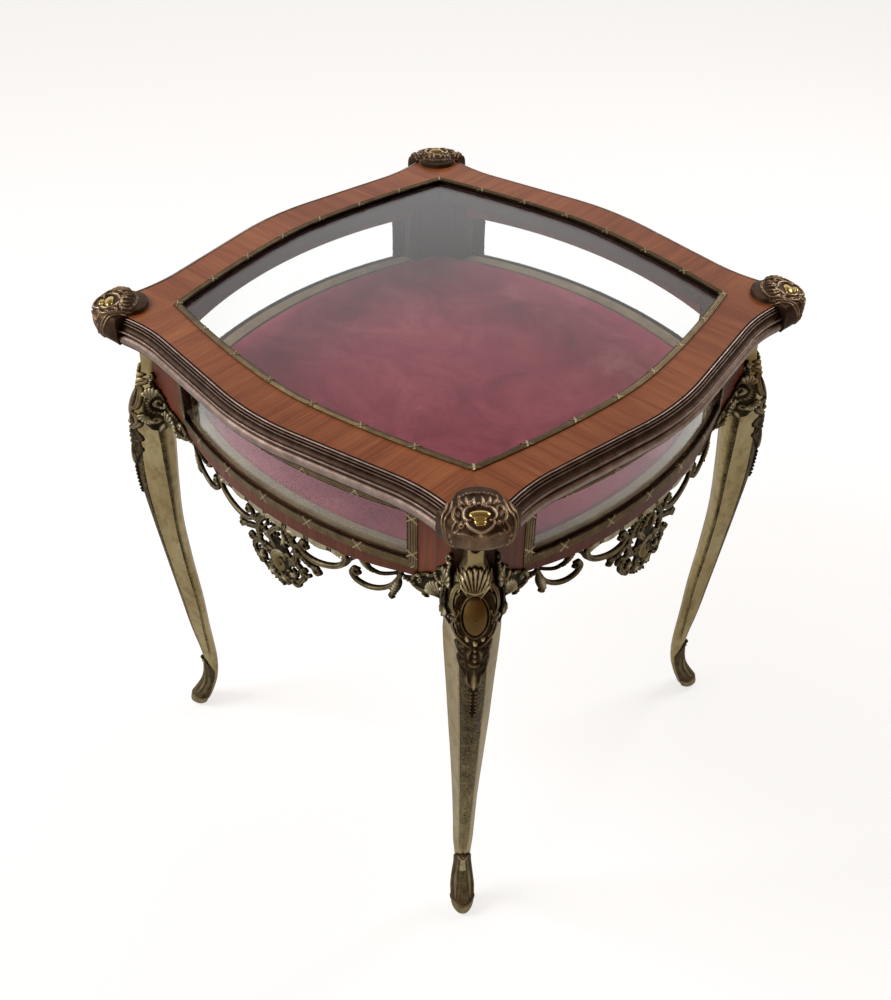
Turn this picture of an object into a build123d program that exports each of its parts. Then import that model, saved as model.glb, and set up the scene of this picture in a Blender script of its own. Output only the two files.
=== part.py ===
"""Square display table: four cabriole legs, a glazed case and a hinged glass lid.

Frame: Z up, origin on the floor under the middle of the table, front towards -Y.
Every side piece is drawn facing +Y and turned to its side, and every corner piece
is drawn on the +X axis (or in the +X +Y quadrant) and turned to its corner.
"""
from build123d import *
import os
from math import asin, cos, degrees, radians, sin, sqrt

os.makedirs("parts", exist_ok=True)

# ---------------------------------------------------------------- heights
lid_top = 760.0             # veneered top of the lid
lid_thickness = 36.0        # lid rails and edge moulding, down to the parting plane
lid_gap = 0.3               # running gap between the closed lid and the case
case_height = 120.0         # case, from the parting plane down to the rail bottoms
bottom_rail_face = 13.0     # veneer under the lower beading
top_rail_face = 12.0        # veneer over the upper beading
bead_width = 13.0           # brass beading round each side pane

# ---------------------------------------------------------------- case plan
case_half = 334.0           # middle of a side, from the centre of the table
bow_rise = 37.4             # rise of the bowed sides between two corner posts
post_reach = 122.0          # corner posts begin this far before the corner of the square
stile_width = 50.0          # flat veneered stile beside each opening
stile_inset = 36.0          # outer face of the stiles, behind the middle of a side
frame_depth = 22.0          # thickness of rails and posts
bead_proud = 2.5            # beading stands this far out of the bow
bead_depth = 6.5
pane_thickness = 3.5
pane_play = 0.35            # putty line on each face of a side pane
pane_end_play = 0.5
glass_stop = 10.0           # upstand of the rails behind the side panes
seat_width = 10.0           # lip of the bottom rails that carries the base board
seat_thickness = 7.0
board_thickness = 10.0
board_play = 0.3
ledge_thickness = 3.0
ledge_width = 17.5
pad_play = 0.5
pad_rise = 1.5              # velvet over the ledge, when pressed flat

# ---------------------------------------------------------------- lid plan
lid_overhang = 10.0         # veneer edge beyond the case, at the middle of a side
lid_bow_radius = 370.0
lid_slope = 9.5             # degrees, at the straight between bow and sweep
lid_sweep_radius = 240.0    # hollow sweep out to the corner
lid_sweep_in = 108.2        # centre of the sweep, inwards along the side
lid_corner_angle = 15.5     # degrees, where the sweep stops at the cut corner
moulding_end_angle = 9.7    # degrees, where the moulding stops at the clasp
lid_rail_width = 49.0       # veneer between the edge and the lid beading, middle of a side
window_bow_radius = 480.0
window_bow_angle = 6.0
window_side_radius = 1500.0
moulding_reach = 17.5       # bullnose of the edge moulding, beyond the veneer
lid_bead_width = 9.0
lid_bead_height = 7.5
mitre_play = 0.05           # hairline on each side of a mitre of the lid beading
lid_pane_thickness = 4.0
lid_pane_depth = 4.0        # top of the lid pane under the veneer
lid_pane_play = 0.5
lid_sight_inset = 7.0       # rail under the pane, inwards from the beading's edge

# ---------------------------------------------------------------- corner clasps
clasp_proud = 3.0           # cheeks, beyond the moulding
clasp_nose_out = 36.0       # outermost point on the diagonal, beyond the cheeks
clasp_lip_in = 24.0         # innermost point, over the veneer, inwards from the cheeks
clasp_rise = 8.0            # above the veneer
clasp_wall = 4.0
# Rounding of a clasp from the parting plane to its top: share of the height,
# how far the nose, the cheeks and the lip stand back from the widest plan
clasp_levels = (
    (0.0, 19.0, 6.0, 0.0), (0.2, 6.0, 0.5, 0.0), (0.5, 0.0, 0.0, 0.0),
    (0.8, 3.0, 0.5, 0.0), (1.0, 14.0, 5.0, 4.0),
)
boss_radius = 13.0
boss_inset = 22.0           # middle of the boss, inwards from the nose
boss_rise = 3.0

# ---------------------------------------------------------------- legs
# Sections on the diagonal: height, then outer face, inner face and where it is widest, all
# three out from the cut corner of the case, half width of the outer face, half width at the
# widest, half width of the inner face. The foot is measured from the floor
foot_sections = (
    (0.0, 22.0, 8.0, 15.0, 3.0, 6.0, 3.0),
    (6.0, 26.5, 2.0, 15.0, 5.0, 10.0, 4.0),
    (20.0, 24.0, -4.5, 11.0, 6.0, 13.0, 5.0),
    (38.0, 14.0, -11.5, 2.0, 6.5, 14.5, 5.0),
    (60.0, 4.5, -17.5, -6.0, 6.0, 12.5, 4.5),
    (90.0, 0.5, -20.5, -9.0, 6.5, 11.0, 4.0),
    (120.0, 2.5, -20.0, -8.0, 8.0, 13.0, 4.5),
)
# The same at shares of the height between the foot and the knee
shin_sections = (
    (0.13, 12.0, -16.5, -4.0, 9.5, 14.5, 5.0),
    (0.275, 20.0, -13.5, -1.0, 11.0, 16.5, 5.5),
    (0.47, 30.5, -6.5, 6.5, 13.0, 20.5, 6.0),
    (0.66, 40.5, -2.0, 11.5, 15.0, 25.0, 7.5),
    (0.835, 48.5, -4.5, 13.0, 17.0, 29.0, 8.0),
)
# The same over the rail bottoms
knee_sections = (
    (-66.0, 49.0, -9.0, 14.0, 19.0, 33.0, 8.0),
    (-24.0, 45.0, -10.0, 13.0, 21.5, 34.0, 9.0),
    (0.0, 39.0, -7.0, 12.0, 23.0, 34.0, 12.0),
    (26.0, 30.0, 0.0, 11.0, 22.0, 33.0, 20.0),
    (46.0, 23.5, 0.0, 9.0, 15.0, 22.0, 18.0),
    (68.0, 19.5, 0.0, 8.0, 9.0, 12.5, 12.0),
    (98.0, 18.0, 0.0, 9.0, 9.0, 12.0, 11.5),
)
bolt_levels = (89.0, 22.0)  # over the rail bottoms
bolt_radius = 3.0
bolt_head_radius = 5.0
bolt_head_depth = 3.0
bolt_length = 24.0
bolt_play = 0.15

# ---------------------------------------------------------------- mounts on the legs
# Knee mount, seen from outside: height over the rail bottoms and half width
knee_outline = (
    (70.0, 3.0), (67.0, 9.0), (61.0, 12.5), (52.0, 12.5), (46.0, 18.0),
    (34.0, 22.5), (-4.0, 23.0), (-16.0, 20.5), (-39.0, 19.0), (-56.0, 16.0),
    (-64.0, 9.0), (-90.0, 8.0), (-102.0, 4.0), (-142.0, 3.5), (-146.0, 1.5),
)
knee_relief = 3.5
knee_bite = 2.0             # the back of a mount is fitted to the leg from this deep
cabochon_level = 13.0       # its middle, over the rail bottoms
cabochon_half = 25.0
cabochon_half_width = 15.5
cabochon_rise = 8.0
cabochon_round = 3.0
sabot_wall = 2.2
sabot_levels = (1.0, 12.0, 24.0, 38.0, 60.0, 90.0, 113.0)
sabot_wrap = 0.55           # share of the foot's inner flank that the sabot covers
sabot_pin_height = 102.0
sabot_pin_radius = 1.5
sabot_pin_head = 3.0
sabot_pin_length = 9.0

# ---------------------------------------------------------------- pierced mounts
apron_inset = 0.5           # face of an apron behind the bow of the rail
apron_depth = 5.0
apron_clear = 12.0          # end of an apron, before the corner post
apron_strip = 13.0          # height of the plain strip at the middle
apron_strip_end = 90.0      # the strip stops this far before the apron does
apron_line = 3.5            # thin strip out to the brackets
apron_margin = 10.0         # round end of the last scroll, beyond the thin strip
# Scrolls and ribbon towards one end of an apron: bar width, then points from that end and
# under the rail
apron_end_bars = (
    (6, (-88, -7), (-88, -20), (-97, -32), (-112, -41), (-132, -45), (-150, -42), (-155, -32),
     (-148, -25)),
    (5, (-100, -35), (-88, -26), (-79, -13), (-67, -3)),
    (5, (-69, -25), (-77, -26), (-79, -35), (-70, -43), (-54, -46), (-37, -41), (-23, -29),
     (-12, -8)),
    (8, (-64, -3), (-56, -12), (-49, -20)),
    (4, (-53, -16), (-40, -18), (-26, -14), (-13, -4)),
    (9, (-17, -22), (-22, -33), (-24, -43)),
)
apron_end_discs = ((-90, -8, 7), (-147, -26, 6), (-70, -28, 6))
# Half the cartouche in the middle of an apron
cartouche_bars = (
    (9, (8, -14), (24, -24), (34, -40), (33, -58), (22, -72)),
    (7, (26, -40), (40, -36), (50, -42)),
    (9, (34, -46), (48, -53), (62, -58), (74, -56)),
    (10, (26, -64), (42, -72), (46, -84), (37, -97)),
)
cartouche_discs = ((71, -61, 6), (48, -70, 7), (22, -94, 9))
cartouche_stem = (12, (0, -96), (-5, -106), (-3, -115))
cartouche_oval = (22, 46)       # half width and half height
cartouche_level = 62            # its middle, under the rail
# Half a corner bracket: bar width, then points from the outer edge of the stile and over the
# rail bottom
bracket_bars = (
    (7, (-67, -5), (-54, -10), (-38, -12), (-22, -17), (-9, -26), (0, -36)),
    (6, (-40, -10), (-32, 4), (-36, 14), (-44, 10)),
    (7, (-12, -22), (-16, -6), (-26, 4), (-22, 18), (-12, 24), (-6, 38), (-3, 54)),
    (6, (-24, 0), (-12, 2), (-4, -8), (-3, -24)),
    (5, (-10, 24), (-18, 32), (-14, 40)),
)
bracket_discs = ((-43, 8, 5), (-58, -9, 6), (-19, 33, 4))
bracket_depth = 5.0

# ---------------------------------------------------------------- hinges and lock
hinge_half = 60.0           # hinges at both sides of the middle of the back
hinge_axis_out = 3.0        # pin line, outwards from the middle of the back rail
leaf_width = 40.0
leaf_depth = 26.0
leaf_thickness = 1.6
knuckle_radius = 3.5
knuckle_gap = 0.4
pin_radius = 1.5
pin_play = 0.05
lock_width = 38.0
lock_depth = 11.0
lock_height = 23.0
lock_play = 0.4             # round the staple
staple_at = 9.0             # beside the keyhole
staple_thickness = 2.4
staple_width = 8.0
staple_drop = 19.0
latch_length = 13.0         # sliding bolt of the lock
latch_depth = 4.8
latch_height = 5.6
latch_level = 14.0          # middle of the sliding bolt, under the parting plane
latch_start = -7.0
latch_travel = 7.0
latch_play = 0.1
keyhole_radius = 2.4
keyhole_level = 6.5         # under the parting plane
keyhole_slot = 2.0
escutcheon_radius = 5.3
escutcheon_thickness = 1.2

# ---------------------------------------------------------------- derived
parting = lid_top - lid_thickness
lid_bottom = parting + lid_gap
case_bottom = parting - case_height
bead_low = case_bottom + bottom_rail_face
bead_high = parting - top_rail_face
sight_low = bead_low + bead_width
sight_high = bead_high - bead_width
bead_back = bead_depth - bead_proud
pane_front = bead_back + pane_play
pane_back = pane_front + pane_thickness
stop_front = pane_back + pane_play
ledge_low = bead_low + glass_stop
ledge_top = ledge_low + ledge_thickness
board_low = case_bottom + seat_thickness
board_top = board_low + board_thickness
opening_half = case_half - post_reach
bow_radius = (opening_half**2 + bow_rise**2) / (2 * bow_rise)
bow_centre = case_half - bow_radius
stile_face = case_half - stile_inset
stile_end = opening_half + stile_width
post_corner = (stile_end + stile_face) / sqrt(2)
sight_half = opening_half - bead_width
lid_half = case_half + lid_overhang
window_half = lid_half - lid_rail_width
apron_half = opening_half - apron_clear
moulding_height = lid_thickness - lid_gap
hinge_line = case_half + hinge_axis_out
bolt_heights = [case_bottom + level for level in bolt_levels]
knee_points = [(case_bottom + level, half) for level, half in knee_outline]
cabochon_height = case_bottom + cabochon_level
foot_top = foot_sections[-1][0]
knee_low = case_bottom + knee_sections[0][0]
leg_heights = [section[0] for section in foot_sections]
leg_heights += [foot_top + section[0] * (knee_low - foot_top) for section in shin_sections]
leg_heights += [case_bottom + section[0] for section in knee_sections]
leg_sections = []
for height, section in zip(leg_heights, (*foot_sections, *shin_sections, *knee_sections)):
    radii = [post_corner + out for out in section[1:4]]
    leg_sections.append((height, *radii, *section[4:]))

sides = {"back": 0, "left": 90, "front": 180, "right": 270}
corners = {"back_right": 0, "back_left": 90, "front_left": 180, "front_right": 270}


# ---------------------------------------------------------------- helpers
def write(name, *solids):
    """One STEP file for a sub-part; identical or matching solids share it."""
    flat = [s for item in solids for s in item.solids()]
    shape = flat[0] if len(flat) == 1 else Compound(children=flat)
    shape.label = name
    export_step(shape, f"parts/{name}.step")


def turned(shape, angle):
    return shape.rotate(Axis.Z, angle)


def block(x, y, z):
    """Box between the given (low, high) pairs."""
    size = [high - low for low, high in (x, y, z)]
    return Pos(x[0], y[0], z[0]) * Box(*size, align=(Align.MIN,) * 3)


def rod(start, direction, radius, length):
    """Round bar from a point along a direction."""
    return extrude(Plane(start, z_dir=direction) * Circle(radius), length)


def raised(plan, low, high):
    """Plan drawn up from one height to another."""
    return Pos(0, 0, low) * extrude(plan, high - low, dir=(0, 0, 1))


def elevation(outline, reach):
    """Outline in X and Z, drawn out to both sides along Y."""
    return extrude(Plane.XZ * outline, reach, both=True)


# ---------------------------------------------------------------- case
def bow_bar(proud, depth, half, low, high):
    """Bar that follows the bow of a side, from `proud` outside it to `depth` inside."""
    ring = Circle(bow_radius + proud) - Circle(bow_radius - depth)
    window = Pos(0, case_half) * Rectangle(2 * half, case_half)
    plan = (Pos(0, bow_centre) * ring) & window
    return raised(plan, low, high)


def inside_bows(depth, low, high):
    """Plate bounded by the four bows, `depth` inside the faces of the case."""
    plan = Pos(0, bow_centre) * Circle(bow_radius - depth)
    for angle in (90, 180, 270):
        plan = plan & (Rot(0, 0, angle) * Pos(0, bow_centre) * Circle(bow_radius - depth))
    return raised(plan, low, high)


def bottom_rail():
    face = bow_bar(0, frame_depth, opening_half, case_bottom, bead_low)
    upstand = bow_bar(-stop_front, frame_depth, opening_half, bead_low, ledge_low)
    seat = bow_bar(-frame_depth, frame_depth + seat_width, opening_half, case_bottom, board_low)
    return face + upstand + seat


def top_rail():
    face = bow_bar(0, frame_depth, opening_half, bead_high, parting)
    stop_low = bead_high - glass_stop
    stop = bow_bar(-stop_front, frame_depth, opening_half, stop_low, bead_high)
    return face + stop


def corner_post():
    inner = stile_face - frame_depth
    bevel = stile_end - frame_depth
    plan = Polygon(
        (opening_half, stile_face), (stile_end, stile_face), (stile_face, stile_end),
        (stile_face, opening_half), (inner, opening_half), (inner, bevel),
        (bevel, inner), (opening_half, inner), align=None)
    return raised(plan, case_bottom, parting)


def corner_post_bored():
    post = corner_post()
    for height in bolt_heights:
        post -= turned(bolt_bore(height), 45)
    return post


def side_pane():
    half = opening_half - pane_end_play
    return bow_bar(-pane_front, pane_back, half, bead_low, bead_high - pane_end_play)


def side_beading():
    """Four mitred bars round a side pane."""
    ring = bow_bar(bead_proud, bead_back, opening_half, bead_low, bead_high)
    a, b = opening_half, sight_half
    bottom = Polygon((-a, bead_low), (a, bead_low), (b, sight_low), (-b, sight_low), align=None)
    top = Polygon((-a, bead_high), (-b, sight_high), (b, sight_high), (a, bead_high), align=None)
    upright = Polygon((a, bead_low), (a, bead_high), (b, sight_high), (b, sight_low), align=None)
    bars = [ring & elevation(outline, 2 * case_half) for outline in (bottom, top, upright)]
    return bars + [mirror(bars[-1], Plane.YZ)]


# ---------------------------------------------------------------- lid plan
def heading(angle):
    """Unit vector at an angle from +Y towards +X, in degrees."""
    return Vector(sin(radians(angle)), cos(radians(angle)))


def arc(centre, radius, start, end):
    middle = (start + end) / 2
    return ThreePointArc(*[centre + heading(a) * radius for a in (start, middle, end)])


lid_bow_centre = Vector(0, lid_half - lid_bow_radius)
lid_turn = lid_bow_centre + heading(lid_slope) * (lid_bow_radius + lid_sweep_radius)
lid_straight = (lid_half - lid_sweep_in - lid_turn.X) / cos(radians(lid_slope))
lid_sweep_centre = lid_turn + heading(lid_slope + 90) * lid_straight


def lid_edge(out, end_angle):
    """One side of the lid from left to right: sweep, straight, bow, straight, sweep."""
    bow = arc(lid_bow_centre, lid_bow_radius + out, -lid_slope, lid_slope)
    sweep = arc(lid_sweep_centre, out - lid_sweep_radius, lid_slope, -end_angle)
    straight = Line(bow @ 1, sweep @ 0)
    left = [mirror(edge, Plane.YZ) for edge in (sweep, straight)]
    return left + [bow, straight, sweep]


def closed_plan(side_edges):
    """Face with the same edges on all four sides, joined by straight cut corners."""
    edges = []
    for angle in sides.values():
        edges += [turned(edge, -angle) for edge in side_edges]
    end = side_edges[-1] @ 1
    if abs(end.X - end.Y) > 0.001:
        cut = Line(end, (end.Y, end.X))
        edges += [turned(cut, angle) for angle in sides.values()]
    return make_face(Wire.combine(edges)[0].edges())


def lid_plan():
    return closed_plan(lid_edge(0, lid_corner_angle))


def window_plan(out):
    """Outline of the lid window, `out` beyond the outer edge of its beading."""
    centre = Vector(0, window_half - window_bow_radius)
    side_centre = centre - heading(window_bow_angle) * (window_side_radius - window_bow_radius)
    radius = window_side_radius + out
    across = (side_centre.X - side_centre.Y) / sqrt(2)
    mitre_angle = 45 - degrees(asin(across / radius))
    bow = arc(centre, window_bow_radius + out, -window_bow_angle, window_bow_angle)
    side = arc(side_centre, radius, window_bow_angle, mitre_angle)
    return closed_plan([mirror(side, Plane.YZ), bow, side])


def mitre_wedge():
    """Quarter of the plan that belongs to the side facing +Y."""
    reach = 2 * lid_half
    return raised(Polygon((0, 0), (reach, reach), (-reach, reach), align=None), 0, 2 * lid_top)


def lid_rail():
    rebate = lid_top - lid_pane_depth - lid_pane_thickness
    rail = raised(lid_plan() - window_plan(-lid_sight_inset), lid_bottom, rebate)
    rail += raised(lid_plan() - window_plan(0), rebate, lid_top)
    return rail & mitre_wedge()


def lid_pane():
    top = lid_top - lid_pane_depth
    return raised(window_plan(-lid_pane_play), top - lid_pane_thickness, top)


def lid_beading():
    """Four mitred bars over the edge of the lid pane."""
    low = lid_top - lid_pane_depth
    frame = raised(window_plan(0) - window_plan(-lid_bead_width), low, low + lid_bead_height)
    bar = frame & (Pos(0, mitre_play, 0) * mitre_wedge())
    return [turned(bar, angle) for angle in sides.values()]


def moulding_profile():
    """Section of the edge moulding: fillet, ovolo, cove, fillet, bullnose."""
    bottom = -moulding_height
    out = moulding_reach - 6
    low, high = bottom + 2, bottom + 17
    points = [
        Line((0, bottom), (0, 0)),
        Line((0, 0), (3, 0)),
        Line((3, 0), (3, -2.5)),
        RadiusArc((3, -2.5), (7, -5.5), 4),
        Line((7, -5.5), (7, -7)),
        RadiusArc((7, -7), (12, -15), -9),
        Line((12, -15), (13.5, -15)),
        Line((13.5, -15), (13.5, -17.5)),
        Line((13.5, -17.5), (out, high)),
        ThreePointArc((out, high), (moulding_reach, (low + high) / 2), (out, low)),
        Line((out, low), (out, bottom)),
        Line((out, bottom), (0, bottom)),
    ]
    return make_face(points)


def lid_moulding():
    path = Wire.combine(lid_edge(0, moulding_end_angle))[0]
    start = path @ 0
    along = (path % 0) if start.X < 0 else (path % 0) * -1
    outward = Vector(0, 0, 1).cross(along)
    plane = Plane(Vector(start.X, start.Y, lid_top), x_dir=outward, z_dir=along)
    return sweep(plane * moulding_profile(), path=Pos(0, 0, lid_top) * path)


# ---------------------------------------------------------------- corner clasp
def cheek_end(out):
    """End of a moulding on the +X axis, `out` beyond the veneer: along X and Y."""
    point = lid_sweep_centre + heading(-moulding_end_angle) * (out - lid_sweep_radius)
    return (point.X + point.Y) / sqrt(2), (point.Y - point.X) / sqrt(2)


clasp_nose = cheek_end(moulding_reach + clasp_proud)[0] + clasp_nose_out
clasp_lip = cheek_end(0)[0] - clasp_lip_in


def clasp_plan(nose_back, cheek_back, lip_back):
    """Seen from above on the +X axis: rounded nose, straight cheeks, lip over the veneer."""
    r0, s0 = cheek_end(0)
    r1, s1 = cheek_end(moulding_reach + clasp_proud - cheek_back)
    return make_face([
        ThreePointArc((r1, -s1), (clasp_nose - nose_back, 0), (r1, s1)),
        Line((r1, s1), (r0, s0)),
        ThreePointArc((r0, s0), (clasp_lip + lip_back, 0), (r0, -s0)),
        Line((r0, -s0), (r1, -s1)),
    ])


def clasp_form(inset):
    """Rounded body of a clasp, or the hollow `inset` inside it."""
    height = lid_top + clasp_rise - lid_bottom
    faces = []
    for share, *back in clasp_levels:
        plan = clasp_plan(*back)
        if inset:
            plan = offset(plan, -inset)
        faces.append(Pos(0, 0, lid_bottom + share * height) * plan)
    return loft(faces)


def corner_clasp():
    """Cast shell over a lid corner, with a lip on the veneer."""
    top = lid_top + clasp_rise
    centre = clasp_nose - boss_inset
    boss = Pos(centre, 0, top + boss_rise - boss_radius) * Sphere(boss_radius)
    reach = (-2 * lid_half, 2 * lid_half)
    hollow = clasp_form(clasp_wall) & block(reach, reach, (0, lid_top))
    body = clasp_form(0) + (boss & block(reach, reach, (lid_top, 2 * lid_top)))
    return body - hollow - turned(raised(lid_plan(), 0, lid_top), -45)


# ---------------------------------------------------------------- legs
def leg_section(height):
    """Leg section at any height, straight between the two nearest given ones."""
    for low, high in zip(leg_sections, leg_sections[1:]):
        if low[0] <= height <= high[0]:
            share = (height - low[0]) / (high[0] - low[0])
            return [a + (b - a) * share for a, b in zip(low[1:], high[1:])]
    return leg_sections[-1][1:]


def section_face(points, height):
    """Closed outline from its points at the +Y side of the diagonal."""
    mirrored = [(r, -s) for r, s in reversed(points)]
    outline = [*points, *mirrored, points[0]]
    return Plane.XY.offset(height) * make_face(Polyline(*outline))


def leg_body():
    faces = []
    for height, *_ in leg_sections:
        outer, inner, wide_at, face_half, wide_half, inner_half = leg_section(height)
        points = [(inner, inner_half), (wide_at, wide_half), (outer, face_half)]
        faces.append(section_face(points, height))
    return loft(faces)


def leg_bolt(height, play=0.0, open_depth=0.0):
    """Bolt sunk in the face of a leg and on into the corner post."""
    seat = leg_section(height + bolt_head_radius)[0] - bolt_head_depth
    shank = rod((seat - bolt_length, 0, height), (1, 0, 0), bolt_radius + play, bolt_length)
    return shank + rod((seat, 0, height), (1, 0, 0), bolt_head_radius + play,
                       bolt_head_depth + open_depth)


def bolt_bore(height):
    return leg_bolt(height, bolt_play, bolt_length)


def leg():
    """Cast cabriole leg, seated under and against its corner post."""
    body = leg_body() - turned(corner_post(), -45)
    for height in bolt_heights:
        body -= bolt_bore(height)
    return body - sabot_pin(bolt_play)


def knee_mount():
    """Applied casting down the knee, fitted to the leg behind it."""
    heights = [height for height, _ in knee_points]
    front = [(leg_section(h)[0] + knee_relief, h) for h in heights]
    back = [(leg_section(h)[0] - knee_bite, h) for h in reversed(heights)]
    side = make_face([Spline(*front), Line(front[-1], back[0]),
                      Polyline(*back), Line(back[-1], front[0])])
    slab = extrude(Plane.XZ * side, stile_width, both=True)
    half = [(s, h) for h, s in knee_points]
    outline = Polygon(*half, *[(-s, h) for s, h in reversed(half)], align=None)
    oval = Pos(0, cabochon_height) * Ellipse(cabochon_half_width, cabochon_half)
    outward = Plane(origin=(0, 0, 0), x_dir=(0, 1, 0), z_dir=(1, 0, 0))
    mount = slab & extrude(outward * outline, 2 * case_half, both=True)
    dome_face = leg_section(cabochon_height)[0] + cabochon_rise
    dome_back = leg_section(cabochon_height + cabochon_half)[0] - knee_bite
    dome = Pos(dome_back, 0, 0) * extrude(outward * oval, dome_face - dome_back, dir=(1, 0, 0))
    dome = fillet(dome.faces().sort_by(Axis.X)[-1].edges(), cabochon_round)
    return mount + dome - leg_body()


def sabot():
    """Leaf shoe round the front and sides of a foot."""
    faces = []
    for height in sabot_levels:
        outer, inner, wide_at, face_half, wide_half, inner_half = leg_section(height)
        edge_at = wide_at + (inner - wide_at) * sabot_wrap
        edge_half = wide_half + (inner_half - wide_half) * sabot_wrap + sabot_wall
        points = [(edge_at, edge_half), (wide_at, wide_half + sabot_wall),
                  (outer + sabot_wall, face_half + sabot_wall / 2)]
        faces.append(section_face(points, height))
    return loft(faces) - leg_body() - sabot_pin(bolt_play)


def sabot_pin(play=0.0):
    """Round-headed pin that holds a sabot."""
    face = leg_section(sabot_pin_height)[0] + sabot_wall
    start = (face - sabot_pin_length, 0, sabot_pin_height)
    shank = rod(start, (1, 0, 0), sabot_pin_radius + play, sabot_pin_length)
    if play:
        return shank
    head = Pos(face, 0, sabot_pin_height) * Sphere(sabot_pin_head)
    reach = (-case_half, case_half)
    return shank + (head & block((face, 2 * case_half), reach, (0, lid_top)))


# ---------------------------------------------------------------- pierced mounts
def bars_and_discs(bars, discs):
    """Curved bars with round ends, and discs, as one outline."""
    outline = Sketch()
    for width, *points in bars:
        outline += trace(Spline(*points), width)
        outline += [Pos(*end) * Circle(width / 2) for end in (points[0], points[-1])]
    return outline + [Pos(x, level) * Circle(radius) for x, level, radius in discs]


def apron():
    """Pierced apron under a bottom rail, bent to the bow of the side."""
    half = Pos(apron_half, 0) * bars_and_discs(apron_end_bars, apron_end_discs)
    half += bars_and_discs(cartouche_bars, cartouche_discs)
    outline = half + mirror(half, Plane.YZ)
    outline += Pos(0, -cartouche_level) * Ellipse(*cartouche_oval)
    outline += bars_and_discs([cartouche_stem], [])
    outline += Pos(0, -apron_strip / 2) * Rectangle(2 * (apron_half - apron_strip_end), apron_strip)
    outline += Pos(0, -apron_line / 2) * Rectangle(2 * (apron_half - apron_margin), apron_line)
    band = bow_bar(-apron_inset, apron_inset + apron_depth, apron_half, 0, case_bottom)
    return band & elevation(Pos(0, case_bottom) * outline, 2 * case_half)


def corner_brackets():
    """Pair of pierced brackets, one on each side of a corner."""
    outline = Plane.XZ * Pos(stile_end, case_bottom) * bars_and_discs(bracket_bars, bracket_discs)
    plate = Pos(0, stile_face, 0) * extrude(outline, bracket_depth, dir=(0, 1, 0))
    right = plate - turned(leg_body(), 45)
    return right, mirror(right, Plane(origin=(0, 0, 0), z_dir=(1, -1, 0)))


# ---------------------------------------------------------------- hinges and lock
def hinge_knuckle(x, radius, length):
    return rod((x - length / 2, hinge_line, parting), (1, 0, 0), radius, length)


def hinge_leaf(x, low, high, joined, free):
    """Leaf with knuckles at the `joined` stations and notches at the `free` ones."""
    third = leaf_width / 3
    leaf = block((x - leaf_width / 2, x + leaf_width / 2), (hinge_line - leaf_depth, hinge_line),
                 (low, high))
    for station in free:
        leaf -= hinge_knuckle(x + station * third, knuckle_radius + knuckle_gap, third + knuckle_gap)
    for station in joined:
        leaf += hinge_knuckle(x + station * third, knuckle_radius, third - knuckle_gap)
    return leaf - hinge_knuckle(x, pin_radius + pin_play, 2 * leaf_width)


def case_leaf(x):
    return hinge_leaf(x, parting - leaf_thickness, parting, (-1, 1), (0,))


def lid_leaf(x):
    return hinge_leaf(x, lid_bottom, lid_bottom + leaf_thickness, (0,), (-1, 1))


def leaf_recess(x, low):
    """Mortise for a leaf, with room for the knuckles to turn."""
    recess = block((x - leaf_width / 2, x + leaf_width / 2),
                   (hinge_line - leaf_depth, hinge_line), (low, low + leaf_thickness))
    room = knuckle_radius + 2 * knuckle_gap
    return recess + hinge_knuckle(x, room, leaf_width + 2 * knuckle_gap)


def lock_block(half_x, half_y, top, depth, x=0.0):
    """Box about the middle of the lock, from `top` to `depth` under the parting plane."""
    y = case_half - frame_depth + lock_depth / 2
    return block((x - half_x, x + half_x), (y - half_y, y + half_y),
                 (parting - depth, parting - top))


def latch(play=0.0, travel=0.0):
    half = latch_length / 2 + travel / 2 + play
    middle = latch_start + latch_length / 2 + travel / 2
    top = latch_level - latch_height / 2 - play
    depth = latch_level + latch_height / 2 + play
    return lock_block(half, latch_depth / 2 + play, top, depth, middle)


def keyhole(reach):
    """Round hole with a slot below it, drilled inwards from the face of the rail."""
    level = parting - keyhole_level
    slot_half = keyhole_slot / 2
    start = case_half - frame_depth + lock_depth / 2
    hole = rod((0, start, level), (0, 1, 0), keyhole_radius, reach)
    return hole + block((-slot_half, slot_half), (start, start + reach),
                        (level - 2 * keyhole_radius, level))


def lock_case():
    body = lock_block(lock_width / 2, lock_depth / 2, 0, lock_height)
    body -= latch(latch_play, latch_travel)
    body -= lock_block(staple_thickness / 2 + lock_play, staple_width / 2 + lock_play,
                       -lid_gap, staple_drop + lock_play, staple_at)
    return body - keyhole(lock_depth)


def lock_pocket():
    """Pocket for the lock case, open to the inside of the case and at the top."""
    pocket = lock_block(lock_width / 2, lock_depth / 2, -lid_gap, lock_height)
    return pocket + Pos(0, -lock_depth / 2, 0) * pocket


def lid_staple():
    """Plate under the lid with a drop that the sliding bolt passes through."""
    plate = lock_block(lock_width / 2, lock_depth / 2, -lid_gap - leaf_thickness, -lid_gap)
    drop = lock_block(staple_thickness / 2, staple_width / 2, -lid_gap, staple_drop, staple_at)
    eye = 2 * lock_play
    hole = lock_block(staple_width, latch_depth / 2 + lock_play,
                      latch_level - latch_height / 2 - eye, latch_level + latch_height / 2 + eye,
                      staple_at)
    return plate + drop - hole


def escutcheon():
    level = parting - keyhole_level
    plate = rod((0, case_half, level), (0, 1, 0), escutcheon_radius, escutcheon_thickness)
    return plate - keyhole(2 * frame_depth)


# ---------------------------------------------------------------- build
def back_cuts(x):
    """Room for one hinge in the case, and in the lid."""
    mortise = block((x - leaf_width / 2, x + leaf_width / 2),
                    (hinge_line - leaf_depth, hinge_line), (parting - leaf_thickness, parting))
    return mortise, leaf_recess(x, lid_bottom)


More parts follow.
